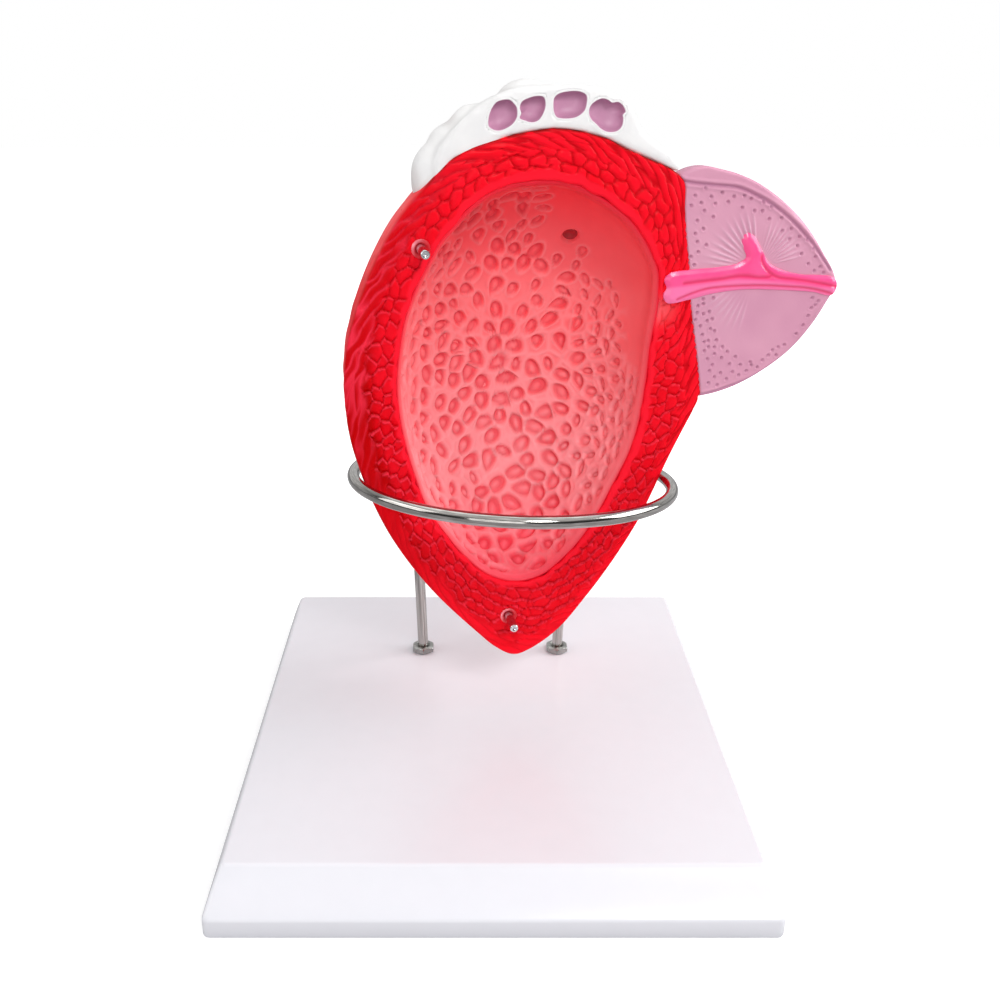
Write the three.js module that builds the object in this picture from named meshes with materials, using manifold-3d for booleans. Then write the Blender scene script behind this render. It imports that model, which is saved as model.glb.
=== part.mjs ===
// Half of a urinary bladder model, cut open lengthwise, held in a bent wire ring on a white base.
// Millimetres, +Z up. The cut face looks towards -Y and the feet of the wire are near the back.
import * as THREE from 'three';
import Module from 'manifold-3d';
import { mergeVertices } from 'three/addons/utils/BufferGeometryUtils.js';

const wasm = await Module();
wasm.setup();

// Base
const BASE_TOP_WIDTH = 200;
const BASE_TOP_DEPTH = 219;
const BASE_HEIGHT = 20;
const BASE_LIP_HEIGHT = 7.5;
const BASE_FRONT_SLOPE_RUN = 15;
const BASE_SIDE_DRAFT = 4.7;
const BASE_CORNER_RADIUS = 4;
const BASE_EDGE_ROUND = 1.5;
const BASE_WALL = 3;
const BASE_CORNER_STEPS = 5;

// Wire stand: one rod, bent into two legs and an open ring. The ring's radius comes from the wall
const ROD_DIAMETER = 5;
const RING_CENTRE_X = 9.4;
const RING_CENTRE_Y = -6;
const RING_ABOVE_BASE = 112.4;
const RING_FRONT_RISE = THREE.MathUtils.degToRad(6.3);
const RING_RIGHT_DROP = THREE.MathUtils.degToRad(2.3);
const LEG_BEND_RUN = 9;
const FOOT_LEFT_X = -30.9;
const FOOT_RIGHT_X = 35.6;
const FOOT_FROM_BACK_EDGE = 60;
const LEG_SPLAY_LEFT = 3.9;
const LEG_SPLAY_RIGHT = 5.6;
const ROD_SIDES = 10;
const ROD_STEPS = 120;
const RING_KNOTS = 30;

// Nuts, washers and the bosses under the base, all round the rod
const NUT_WALL = 2.5;
const NUT_HEIGHT = 3;
const NUT_CHAMFER = 0.8;
const WASHER_MARGIN = 1.5;
const WASHER_HEIGHT = 1;
const BOSS_MARGIN = 1.5;
const BOSS_HEIGHT = 2;
const ROD_END_BELOW_NUT = 2;

// Clearance between pieces that touch, and how far a cut runs past the face that it opens
const FIT_GAP = 0.3;
const CUT_OVERRUN = 2;

// Half organ: its section plane, and how far its back reaches behind the middle of the ring
const SECTION_YAW = THREE.MathUtils.degToRad(11);
const SECTION_LEAN = THREE.MathUtils.degToRad(3);
const BACK_BEHIND_RING_CENTRE = 64;
const OUTLINE_POINTS = 56;

// Muscle wall: half a thick shell, deepest behind WALL_POLE
const WALL_POLE = [5, 22];
const WALL_DEPTH = 70;
const WALL_BACK_THICKNESS = 20;
const WALL_SQUARENESS_LOW = 2;
const WALL_SQUARENESS_HIGH = 2.6;
const WALL_SQUARENESS_SPAN = 60;
const WALL_OUTLINE = [
  [78, 33], [77, 41], [75, 51], [72.5, 62], [70, 74], [68, 88], [66, 98], [64.3, 109],
  [63, 119], [58, 123], [51, 126], [41, 130], [31, 134.5], [21, 137], [12, 138], [3, 137],
  [-8, 135], [-19, 132], [-28, 126.5], [-36, 118], [-45, 107.5], [-50.5, 99], [-55.5, 89.5],
  [-60, 79], [-63.5, 69], [-66, 59], [-67.3, 48], [-67.3, 37], [-65.8, 23], [-62, 8], [-58, -4],
  [-51, -20], [-41, -37], [-30, -52], [-14, -70], [-5, -79], [3, -83.5], [11, -81], [23, -72],
  [34, -58], [41, -48], [49, -35], [56.4, -21], [61.2, -9], [66.9, 6], [72, 18], [76, 27],
];

// Lining of the cavity
const LINING_THICKNESS = 2;
const CAVITY_POLE = [5, 36];
const CAVITY_SQUARENESS = 2.4;
const CAVITY_OUTLINE = [
  [56.8, 78], [56, 85], [51, 95], [43, 105], [30, 114], [17, 119.5], [0, 119.5], [-10, 117],
  [-18, 112], [-25, 105], [-31, 98], [-35, 91], [-40, 81], [-44, 70], [-46, 60], [-47.5, 45],
  [-46.5, 30], [-44, 17], [-40.5, 4], [-36, -9], [-28, -22], [-19, -34], [-9, -43], [3, -47],
  [14, -45], [23, -38], [31, -29], [38, -17], [44, -4], [50, 10], [53, 23], [54.7, 42],
  [55.3, 56], [56.8, 70],
];

// Ureter orifice in the lining
const ORIFICE_AT = [29, 93];
const ORIFICE_DIAMETER = 5.6;
const ORIFICE_DISH = 1.1;

// Prostate
const PROSTATE_POLE = [84, 80];
const PROSTATE_DEPTH = 38;
const PROSTATE_SQUARENESS = 2.2;
const PROSTATE_OUTLINE = [
  [131.5, 77], [130, 82], [125, 89], [118, 98], [110, 106], [100, 113.5], [90, 119], [79, 122.5],
  [69, 124], [58, 119], [48, 102], [44, 80], [48, 56], [58, 40], [70, 33], [80, 33], [93, 36.5],
  [106, 43.5], [116, 51.5], [123.5, 61], [128.5, 70],
];

// Urethra: a raised strip let into the section, with a short side branch
const URETHRA_PROUD = 1.4;
const URETHRA_SEAT = 1.8;
const URETHRA_OUTLINE = [
  [131.4, 77], [129.5, 80.3], [115, 82], [107, 84], [101, 87], [97, 92.5], [93.5, 97.5],
  [90.5, 99], [88.5, 97], [89.3, 93.5], [91, 89.5], [88, 87.3], [80, 86], [68, 85.3],
  [60, 84.2], [58, 81.7], [59.2, 78.6], [58.2, 75.5], [60, 72.6], [69, 73.6], [78, 75.6],
  [91, 76.8], [108, 76], [121, 74.8], [129.8, 73.3],
];

// Seminal vesicle: a flat-cut body, lumps on its outer side and four lumens
const VESICLE_POLE = [6, 130];
const VESICLE_DEPTH = 26;
const VESICLE_SQUARENESS = 2.4;
const VESICLE_OUTLINE = [
  [61.5, 123.5], [55, 130.5], [46, 136.5], [41.5, 144], [35, 149.5], [25, 152.5], [15, 153],
  [4, 152.5], [-6, 151.5], [-14, 147.5], [-22, 142], [-28, 135.5], [-33, 127.5], [-30, 117],
  [-12, 111], [8, 110], [30, 111], [50, 113],
];
// The middle and the radii of each lump, then of each lumen
const VESICLE_LUMPS = [
  [[-19, 12, 129], [14, 12, 12]],
  [[-31, 11, 117], [8.5, 11, 12]],
  [[3, 14, 145.5], [11, 10, 9]],
  [[15, 13, 143.5], [17, 12, 9]],
  [[33, 11, 134], [14, 11, 10]],
];
const LUMEN_DEPTH = 4.5;
const LUMEN_SKIN = 0.9;
const LUMENS = [
  [[-7.4, 143.3], [4.4, 5.6]],
  [[3.5, 144.9], [5, 4.6]],
  [[17.6, 146.6], [6.5, 5]],
  [[31.2, 142.9], [6.4, 5.8]],
];

// Locating pins and their sleeves
const PIN_DIAMETER = 3.6;
const PIN_EXPOSED = 11;
const PIN_BURIED = 11;
const PIN_CHAMFER = 0.5;
const SLEEVE_WALL = 1.6;
const PIN_UPPER_AT = [-37.5, 96.5];
const PIN_LOWER_AT = [0, -63];
const PIN_SECTORS = 16;

// Sizes and places that follow from the ones above
const SECTION_AHEAD_OF_RING = WALL_DEPTH - BACK_BEHIND_RING_CENTRE;
const CAVITY_DEPTH = WALL_DEPTH - WALL_BACK_THICKNESS;
const ROD_HOLE_DIAMETER = ROD_DIAMETER + 2 * FIT_GAP;
const NUT_ACROSS_FLATS = ROD_DIAMETER + 2 * NUT_WALL;
const WASHER_DIAMETER = NUT_ACROSS_FLATS + 2 * WASHER_MARGIN;
const BOSS_DIAMETER = WASHER_DIAMETER + 2 * BOSS_MARGIN;
const BOSS_FACE_Z = BASE_HEIGHT - BASE_WALL - BOSS_HEIGHT;
const WASHER_Z = BOSS_FACE_Z - FIT_GAP - WASHER_HEIGHT;
const LOWER_NUT_Z = WASHER_Z - FIT_GAP - NUT_HEIGHT;
const ROD_END_Z = LOWER_NUT_Z - ROD_END_BELOW_NUT;
const FOOT_Y = BASE_TOP_DEPTH / 2 - FOOT_FROM_BACK_EDGE;
const FEET = [
  { side: 'left', x: FOOT_LEFT_X },
  { side: 'right', x: FOOT_RIGHT_X },
];
const RING_CENTRE = new THREE.Vector3(RING_CENTRE_X, RING_CENTRE_Y, BASE_HEIGHT + RING_ABOVE_BASE);
const PIN_BORE_DIAMETER = PIN_DIAMETER + 2 * FIT_GAP;
const SLEEVE_DIAMETER = PIN_BORE_DIAMETER + 2 * SLEEVE_WALL;
const SLEEVE_DEPTH = PIN_BURIED + FIT_GAP;

const WHITE_ABS = material(0xf4f4f6, 0.25, 0);
const CHROME = material(0xd8dadc, 0.12, 1);
const STEEL = material(0xb4b6b8, 0.3, 1);
const MUSCLE_RED = material(0xe0101f, 0.38, 0);
const LINING_PINK = material(0xf56a70, 0.4, 0);
const DARK_RED = material(0xa5101c, 0.45, 0);
const MAUVE = material(0xcb97b1, 0.42, 0);
const URETHRA_PINK = material(0xff5a9a, 0.38, 0);
const FAT_WHITE = material(0xf6f4f2, 0.45, 0);
const SLEEVE_PINK = material(0xf2a0a4, 0.5, 0);

function material(color, roughness, metalness) {
  return new THREE.MeshStandardMaterial({ color, roughness, metalness });
}

// Closed solids in and out of the boolean library
function toSolid(geometry) {
  const bare = geometry.clone();
  bare.deleteAttribute('normal');
  bare.deleteAttribute('uv');
  const merged = mergeVertices(bare, 1e-4);
  return new wasm.Manifold(new wasm.Mesh({
    numProp: 3,
    vertProperties: new Float32Array(merged.attributes.position.array),
    triVerts: new Uint32Array(merged.index.array),
  }));
}

function toGeometry(solid) {
  const mesh = solid.getMesh();
  const geometry = new THREE.BufferGeometry();
  geometry.setAttribute('position', new THREE.BufferAttribute(new Float32Array(mesh.vertProperties), 3));
  geometry.setIndex(new THREE.BufferAttribute(new Uint32Array(mesh.triVerts), 1));
  return geometry;
}

function part(name, solid, look) {
  const mesh = new THREE.Mesh(toGeometry(solid), look);
  mesh.name = name;
  return mesh;
}

// A smooth closed outline in the section plane, counter-clockwise seen from the front
function smoothOutline(points, count = OUTLINE_POINTS) {
  const knots = points.map(([x, z]) => new THREE.Vector3(x, z, 0));
  const curve = new THREE.CatmullRomCurve3(knots, true, 'centripetal');
  const samples = curve.getSpacedPoints(count).slice(0, count);
  return samples.map((p) => new THREE.Vector2(p.x, p.y));
}

// The same outline moved outwards by a margin, or inwards where the margin is negative
function growOutline(outline, margin) {
  return outline.map((p, i) => {
    const before = outline.at(i - 1);
    const after = outline[(i + 1) % outline.length];
    const along = after.clone().sub(before).normalize();
    return new THREE.Vector2(p.x + along.y * margin, p.y - along.x * margin);
  });
}

// A half dome behind the section plane: its outline shrinks towards the pole as it gets deeper
function halfDome({ outline, pole, depth, squareness, ahead = 0, rings = 8 }) {
  const positions = [];
  const indices = [];
  const count = outline.length;
  const front = positions.push(pole[0], -ahead, pole[1]) / 3 - 1;
  const levels = ahead > 0 ? [-1] : [];
  for (let k = 0; k < rings; k += 1) levels.push(k);
  for (const level of levels) {
    const turn = Math.max(level, 0) / rings * Math.PI / 2;
    for (const p of outline) {
      const power = 2 / squareness(p);
      const shrink = Math.cos(turn) ** power;
      const back = level < 0 ? -ahead : depth * Math.sin(turn) ** power;
      positions.push(pole[0] + (p.x - pole[0]) * shrink, back, pole[1] + (p.y - pole[1]) * shrink);
    }
  }
  const tip = positions.push(pole[0], depth, pole[1]) / 3 - 1;
  for (let i = 0; i < count; i += 1) {
    const next = (i + 1) % count;
    indices.push(front, 1 + i, 1 + next);
    for (let k = 0; k + 1 < levels.length; k += 1) {
      const near = 1 + k * count;
      const far = near + count;
      indices.push(near + i, far + i, near + next, near + next, far + i, far + next);
    }
    const last = 1 + (levels.length - 1) * count;
    indices.push(last + i, tip, last + next);
  }
  return toSolid(indexedGeometry(positions, indices));
}

function indexedGeometry(positions, indices) {
  const geometry = new THREE.BufferGeometry();
  geometry.setAttribute('position', new THREE.Float32BufferAttribute(positions, 3));
  geometry.setIndex(indices);
  return geometry;
}

// A straight cylinder whose axis runs front to back, from depth y0 to depth y1
function cylinderAt([x, z], diameter, y0, y1, sectors = PIN_SECTORS) {
  const geometry = new THREE.CylinderGeometry(diameter / 2, diameter / 2, y1 - y0, sectors);
  geometry.translate(x, (y0 + y1) / 2, z);
  return toSolid(geometry);
}

function ellipsoid(at, radii, sectors = 16, rings = 10) {
  const geometry = new THREE.SphereGeometry(1, sectors, rings);
  geometry.scale(radii[0], radii[1], radii[2]);
  geometry.translate(at[0], at[1], at[2]);
  return toSolid(geometry);
}

// Muscle wall
function wallSquareness(p) {
  const lift = THREE.MathUtils.smoothstep(p.y, WALL_POLE[1], WALL_POLE[1] + WALL_SQUARENESS_SPAN);
  const left = THREE.MathUtils.smoothstep(-p.x, -WALL_DEPTH, WALL_DEPTH);
  return THREE.MathUtils.lerp(WALL_SQUARENESS_LOW, WALL_SQUARENESS_HIGH, lift * (0.4 + 0.6 * left));
}

function wallDome(margin) {
  return halfDome({
    outline: growOutline(smoothOutline(WALL_OUTLINE), margin),
    pole: WALL_POLE,
    depth: WALL_DEPTH + margin,
    squareness: wallSquareness,
    ahead: margin > 0 ? margin : 0,
    rings: 9,
  });
}

function cavityDome(inset, ahead) {
  return halfDome({
    outline: growOutline(smoothOutline(CAVITY_OUTLINE), -inset),
    pole: CAVITY_POLE,
    depth: CAVITY_DEPTH - inset,
    squareness: () => CAVITY_SQUARENESS,
    ahead,
  });
}

function urethraPrism(margin, y0, y1) {
  const outline = growOutline(smoothOutline(URETHRA_OUTLINE, 72), margin);
  const shape = new THREE.Shape(outline);
  const geometry = new THREE.ExtrudeGeometry(shape, { depth: y1 - y0, bevelEnabled: false, steps: 1 });
  geometry.rotateX(Math.PI / 2);
  geometry.translate(0, y1, 0);
  return toSolid(geometry);
}

function urethraSeat() {
  return urethraPrism(FIT_GAP, -URETHRA_PROUD, URETHRA_SEAT + FIT_GAP);
}

function muscleWall() {
  const bore = SLEEVE_DIAMETER + 2 * FIT_GAP;
  return wallDome(0)
    .subtract(cavityDome(0, CUT_OVERRUN))
    .subtract(urethraSeat())
    .subtract(cylinderAt(PIN_UPPER_AT, bore, -CUT_OVERRUN, SLEEVE_DEPTH + FIT_GAP))
    .subtract(cylinderAt(PIN_LOWER_AT, bore, -CUT_OVERRUN, SLEEVE_DEPTH + FIT_GAP));
}

// Lining and its orifice
function cavityDepthAt([x, z], inset) {
  const outline = growOutline(smoothOutline(CAVITY_OUTLINE), -inset);
  const pole = new THREE.Vector2(...CAVITY_POLE);
  const reach = new THREE.Vector2(x, z).sub(pole);
  const heading = reach.angle();
  let nearest = outline[0];
  let least = Infinity;
  for (const p of outline) {
    const off = Math.abs(Math.sin((p.clone().sub(pole).angle() - heading) / 2));
    if (off < least) {
      least = off;
      nearest = p;
    }
  }
  const share = reach.length() / nearest.clone().sub(pole).length();
  const flat = 1 - share ** CAVITY_SQUARENESS;
  return (CAVITY_DEPTH - inset) * flat ** (1 / CAVITY_SQUARENESS);
}

// The axis through the orifice: square to the cavity's surface there, pointing into the cavity
function orificeFrame() {
  const inset = FIT_GAP + LINING_THICKNESS;
  const [x, z] = ORIFICE_AT;
  const step = 1;
  const here = cavityDepthAt([x, z], inset);
  const slopeX = (cavityDepthAt([x + step, z], inset) - cavityDepthAt([x - step, z], inset)) / 2 / step;
  const slopeZ = (cavityDepthAt([x, z + step], inset) - cavityDepthAt([x, z - step], inset)) / 2 / step;
  const inward = new THREE.Vector3(slopeX, -1, slopeZ).normalize();
  const turn = new THREE.Quaternion().setFromUnitVectors(new THREE.Vector3(0, 1, 0), inward);
  return new THREE.Matrix4().compose(new THREE.Vector3(x, here, z), turn, new THREE.Vector3(1, 1, 1));
}

function orificeBore() {
  const length = 4 * LINING_THICKNESS;
  const bore = new THREE.CylinderGeometry(ORIFICE_DIAMETER / 2, ORIFICE_DIAMETER / 2, length, 20);
  bore.applyMatrix4(orificeFrame());
  return toSolid(bore);
}

function orificeDish() {
  const radius = ORIFICE_DIAMETER / 2 - FIT_GAP;
  const profile = [
    new THREE.Vector2(0, -LINING_THICKNESS + FIT_GAP),
    new THREE.Vector2(radius, -LINING_THICKNESS + FIT_GAP),
    new THREE.Vector2(radius, -FIT_GAP),
    new THREE.Vector2(radius * 0.8, -FIT_GAP),
    new THREE.Vector2(radius * 0.4, -FIT_GAP - ORIFICE_DISH * 0.8),
    new THREE.Vector2(0, -FIT_GAP - ORIFICE_DISH),
  ];
  const dish = new THREE.LatheGeometry(profile, 20);
  dish.applyMatrix4(orificeFrame());
  return toSolid(dish).intersect(cavityDome(FIT_GAP, 0));
}

function mucosaLining() {
  return cavityDome(FIT_GAP, 0)
    .subtract(cavityDome(FIT_GAP + LINING_THICKNESS, CUT_OVERRUN))
    .subtract(orificeBore());
}

// Prostate, shaped to the outside of the wall
function prostateDome(margin) {
  return halfDome({
    outline: growOutline(smoothOutline(PROSTATE_OUTLINE, 52), margin),
    pole: PROSTATE_POLE,
    depth: PROSTATE_DEPTH + margin,
    squareness: () => PROSTATE_SQUARENESS,
    ahead: margin > 0 ? CUT_OVERRUN : 0,
  });
}

function prostate() {
  return prostateDome(0).subtract(wallDome(FIT_GAP)).subtract(urethraSeat());
}

// Seminal vesicle and the four lumens let into its cut face
function vesicleBody() {
  let body = halfDome({
    outline: smoothOutline(VESICLE_OUTLINE, 48),
    pole: VESICLE_POLE,
    depth: VESICLE_DEPTH,
    squareness: () => VESICLE_SQUARENESS,
  });
  for (const [middle, radii] of VESICLE_LUMPS) body = body.add(ellipsoid(middle, radii));
  return body;
}

function lumenBowl([[x, z], [radiusX, radiusZ]], margin) {
  const radii = [radiusX + margin, LUMEN_DEPTH + margin, radiusZ + margin];
  return ellipsoid([x, 0, z], radii, 16, 8);
}

// Everything ahead of the section plane
function frontBlock() {
  const reach = 4 * WALL_DEPTH;
  const block = new THREE.BoxGeometry(2 * reach, reach, 2 * reach);
  block.translate(0, -reach / 2, 0);
  return toSolid(block);
}

function seminalVesicle() {
  let body = vesicleBody()
    .subtract(frontBlock())
    .subtract(wallDome(FIT_GAP))
    .subtract(prostateDome(FIT_GAP));
  for (const lumen of LUMENS) body = body.subtract(lumenBowl(lumen, FIT_GAP));
  return body;
}

function vesicleLumen(lumen) {
  return lumenBowl(lumen, 0).subtract(lumenBowl(lumen, -LUMEN_SKIN)).subtract(frontBlock());
}

// Pins and sleeves
function locatingPin([x, z]) {
  const radius = PIN_DIAMETER / 2;
  const profile = [
    new THREE.Vector2(0, -PIN_EXPOSED),
    new THREE.Vector2(radius - PIN_CHAMFER, -PIN_EXPOSED),
    new THREE.Vector2(radius, -PIN_EXPOSED + PIN_CHAMFER),
    new THREE.Vector2(radius, PIN_BURIED),
    new THREE.Vector2(0, PIN_BURIED),
  ];
  const geometry = new THREE.LatheGeometry(profile, PIN_SECTORS);
  geometry.translate(x, 0, z);
  return toSolid(geometry);
}

function pinSleeve(at) {
  return cylinderAt(at, SLEEVE_DIAMETER, 0, SLEEVE_DEPTH)
    .subtract(cylinderAt(at, PIN_BORE_DIAMETER, -CUT_OVERRUN, SLEEVE_DEPTH + CUT_OVERRUN));
}

// Base: a hollow tray turned over, its front sloping down to an upright lip
function roundedRing(x0, x1, y0, y1, radius, z) {
  const corners = [
    [x1 - radius, y1 - radius, 0],
    [x0 + radius, y1 - radius, 1],
    [x0 + radius, y0 + radius, 2],
    [x1 - radius, y0 + radius, 3],
  ];
  const ring = [];
  for (const [x, y, quarter] of corners) {
    for (let k = 0; k < BASE_CORNER_STEPS; k += 1) {
      const angle = (quarter + k / (BASE_CORNER_STEPS - 1)) * Math.PI / 2;
      ring.push([x + radius * Math.cos(angle), y + radius * Math.sin(angle), z]);
    }
  }
  return ring;
}

function loft(rings) {
  const positions = [];
  const indices = [];
  const count = rings[0].length;
  for (const ring of rings) {
    for (const point of ring) positions.push(...point);
  }
  for (let k = 0; k + 1 < rings.length; k += 1) {
    for (let i = 0; i < count; i += 1) {
      const low = k * count + i;
      const lowNext = k * count + (i + 1) % count;
      indices.push(low, lowNext, low + count, lowNext, lowNext + count, low + count);
    }
  }
  const top = (rings.length - 1) * count;
  for (let i = 1; i + 1 < count; i += 1) {
    indices.push(0, i + 1, i);
    indices.push(top, top + i, top + i + 1);
  }
  return toSolid(indexedGeometry(positions, indices));
}

// One level of the base, drawn in from the foot: share 0 is the lip, 1 is the top edge
function baseLevel(share, inset, z) {
  const halfWidth = BASE_TOP_WIDTH / 2 + BASE_SIDE_DRAFT * (1 - share) - inset;
  const front = -BASE_TOP_DEPTH / 2 - BASE_FRONT_SLOPE_RUN * (1 - share) + inset;
  const back = BASE_TOP_DEPTH / 2 + BASE_SIDE_DRAFT * (1 - share) - inset;
  const radius = Math.max(BASE_CORNER_RADIUS - inset, 1);
  return roundedRing(-halfWidth, halfWidth, front, back, radius, z);
}

function baseShell() {
  const slope = BASE_HEIGHT - BASE_LIP_HEIGHT;
  const outer = loft([
    baseLevel(0, 0, 0),
    baseLevel(0, 0, BASE_LIP_HEIGHT),
    baseLevel(1 - BASE_EDGE_ROUND / slope, 0, BASE_HEIGHT - BASE_EDGE_ROUND),
    baseLevel(1, BASE_EDGE_ROUND * 0.3, BASE_HEIGHT - BASE_EDGE_ROUND * 0.3),
    baseLevel(1, BASE_EDGE_ROUND, BASE_HEIGHT),
  ]);
  const hollow = loft([
    baseLevel(0, BASE_WALL, -CUT_OVERRUN),
    baseLevel(0, BASE_WALL, BASE_LIP_HEIGHT),
    baseLevel(1, BASE_WALL, BASE_HEIGHT - BASE_WALL),
  ]);
  let shell = outer.subtract(hollow);
  for (const { x } of FEET) {
    const intoPlate = BASE_HEIGHT - BASE_WALL / 2;
    shell = shell
      .add(uprightCylinder(x, BOSS_DIAMETER, BOSS_FACE_Z, intoPlate))
      .subtract(uprightCylinder(x, ROD_HOLE_DIAMETER, 0, BASE_HEIGHT + CUT_OVERRUN));
  }
  return shell;
}

function uprightCylinder(x, diameter, z0, z1, sectors = 20) {
  const geometry = new THREE.CylinderGeometry(diameter / 2, diameter / 2, z1 - z0, sectors);
  geometry.rotateX(Math.PI / 2);
  geometry.translate(x, FOOT_Y, (z0 + z1) / 2);
  return toSolid(geometry);
}

// Nuts and washers round the feet of the rod
function nut(x, z) {
  const corner = NUT_ACROSS_FLATS / 2 / Math.cos(Math.PI / 6);
  const prism = new THREE.CylinderGeometry(corner, corner, NUT_HEIGHT, 6);
  prism.rotateX(Math.PI / 2);
  prism.translate(x, FOOT_Y, z + NUT_HEIGHT / 2);
  const face = NUT_ACROSS_FLATS / 2;
  const turned = new THREE.LatheGeometry([
    new THREE.Vector2(0, 0),
    new THREE.Vector2(face - NUT_CHAMFER * 0.2, 0),
    new THREE.Vector2(corner, NUT_CHAMFER * 0.6),
    new THREE.Vector2(corner, NUT_HEIGHT - NUT_CHAMFER),
    new THREE.Vector2(face - NUT_CHAMFER * 0.4, NUT_HEIGHT),
    new THREE.Vector2(0, NUT_HEIGHT),
  ], 12);
  turned.rotateX(Math.PI / 2);
  turned.translate(x, FOOT_Y, z);
  return toSolid(prism)
    .intersect(toSolid(turned))
    .subtract(uprightCylinder(x, ROD_HOLE_DIAMETER, z - CUT_OVERRUN, z + NUT_HEIGHT + CUT_OVERRUN));
}

function washer(x, z) {
  return uprightCylinder(x, WASHER_DIAMETER, z, z + WASHER_HEIGHT)
    .subtract(uprightCylinder(x, ROD_HOLE_DIAMETER, z - CUT_OVERRUN, z + WASHER_HEIGHT + CUT_OVERRUN));
}

// How the half organ stands: turned to the right, leaning forward, its section ahead of the ring
function organFrame() {
  const yaw = new THREE.Matrix4().makeRotationZ(SECTION_YAW);
  const lean = new THREE.Matrix4().makeRotationX(SECTION_LEAN);
  return yaw.multiply(lean).setPosition(
    RING_CENTRE.x,
    RING_CENTRE.y - SECTION_AHEAD_OF_RING,
    RING_CENTRE.z,
  );
}

// Directions of the tilted ring: to the right, to the back, and square to its plane
function ringAxes() {
  const right = new THREE.Vector3(Math.cos(RING_RIGHT_DROP), 0, -Math.sin(RING_RIGHT_DROP));
  const back = new THREE.Vector3(0, Math.cos(RING_FRONT_RISE), -Math.sin(RING_FRONT_RISE));
  return { right, back, up: new THREE.Vector3().crossVectors(right, back).normalize() };
}

// The smallest ring that passes round the wall with the fit gap to spare
function ringRadius() {
  const wall = toGeometry(wallDome(0)).applyMatrix4(organFrame());
  const { up } = ringAxes();
  const rodAndGap = ROD_DIAMETER / 2 + FIT_GAP;
  let radius = 0;
  for (const p of surfacePoints(wall)) {
    p.sub(RING_CENTRE);
    const height = p.dot(up);
    if (Math.abs(height) > rodAndGap) continue;
    const outwards = p.addScaledVector(up, -height).length();
    radius = Math.max(radius, outwards + Math.sqrt(rodAndGap ** 2 - height ** 2));
  }
  return radius;
}

function surfacePoints(geometry) {
  const { index } = geometry;
  const { position } = geometry.attributes;
  const points = [];
  const perSide = 10;
  for (let i = 0; i < index.count; i += 3) {
    const [a, b, c] = [0, 1, 2].map((k) => {
      return new THREE.Vector3().fromBufferAttribute(position, index.getX(i + k));
    });
    for (let u = 0; u <= perSide; u += 1) {
      for (let v = 0; u + v <= perSide; v += 1) {
        const p = a.clone().multiplyScalar(1 - (u + v) / perSide);
        points.push(p.addScaledVector(b, u / perSide).addScaledVector(c, v / perSide));
      }
    }
  }
  return points;
}

// Wire stand: up one leg, round the open ring by the front, and down the other leg
function ringPoint(radius, turn) {
  const { right, back } = ringAxes();
  return RING_CENTRE.clone()
    .addScaledVector(right, radius * Math.cos(turn))
    .addScaledVector(back, radius * Math.sin(turn));
}

function legBend(foot, top, ahead) {
  const rise = new THREE.Vector3().subVectors(top, foot).normalize();
  const start = top.clone().addScaledVector(rise, -LEG_BEND_RUN);
  const bend = new THREE.QuadraticBezierCurve3(start, top, ahead);
  return [start, bend.getPoint(1 / 3), bend.getPoint(2 / 3)];
}

function wirePath() {
  const radius = ringRadius();
  const [left, right] = FEET.map((foot) => new THREE.Vector3(foot.x, FOOT_Y, BASE_HEIGHT));
  const turnLeft = Math.PI - Math.acos((RING_CENTRE.x - left.x + LEG_SPLAY_LEFT) / radius);
  const turnRight = Math.acos((right.x + LEG_SPLAY_RIGHT - RING_CENTRE.x) / radius) + 2 * Math.PI;
  const from = turnLeft + LEG_BEND_RUN / radius;
  const to = turnRight - LEG_BEND_RUN / radius;
  const points = [left.clone().setZ(ROD_END_Z), left];
  points.push(...legBend(left, ringPoint(radius, turnLeft), ringPoint(radius, from)));
  for (let k = 0; k <= RING_KNOTS; k += 1) {
    points.push(ringPoint(radius, from + (to - from) * k / RING_KNOTS));
  }
  points.push(...legBend(right, ringPoint(radius, turnRight), ringPoint(radius, to)).reverse());
  points.push(right, right.clone().setZ(ROD_END_Z));
  return new THREE.CatmullRomCurve3(points, false, 'centripetal');
}

function supportRing() {
  const section = new THREE.Shape();
  section.absarc(0, 0, ROD_DIAMETER / 2, 0, 2 * Math.PI);
  const geometry = new THREE.ExtrudeGeometry(section, {
    steps: ROD_STEPS,
    extrudePath: wirePath(),
    curveSegments: ROD_SIDES / 2,
    bevelEnabled: false,
  });
  return toSolid(geometry);
}

function organGroup() {
  const organ = new THREE.Group();
  organ.applyMatrix4(organFrame());
  organ.add(part('muscle_wall', muscleWall(), MUSCLE_RED));
  organ.add(part('mucosa_lining', mucosaLining(), LINING_PINK));
  organ.add(part('ureter_orifice', orificeDish(), DARK_RED));
  organ.add(part('prostate', prostate(), MAUVE));
  organ.add(part('urethra_strip', urethraPrism(0, -URETHRA_PROUD, URETHRA_SEAT), URETHRA_PINK));
  organ.add(part('seminal_vesicle', seminalVesicle(), FAT_WHITE));
  LUMENS.forEach((lumen, i) => {
    organ.add(part(`vesicle_lumen_${i + 1}`, vesicleLumen(lumen), MAUVE));
  });
  for (const [level, at] of [['upper', PIN_UPPER_AT], ['lower', PIN_LOWER_AT]]) {
    organ.add(part(`locating_pin_${level}`, locatingPin(at), STEEL));
    organ.add(part(`pin_sleeve_${level}`, pinSleeve(at), SLEEVE_PINK));
  }
  return organ;
}

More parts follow.
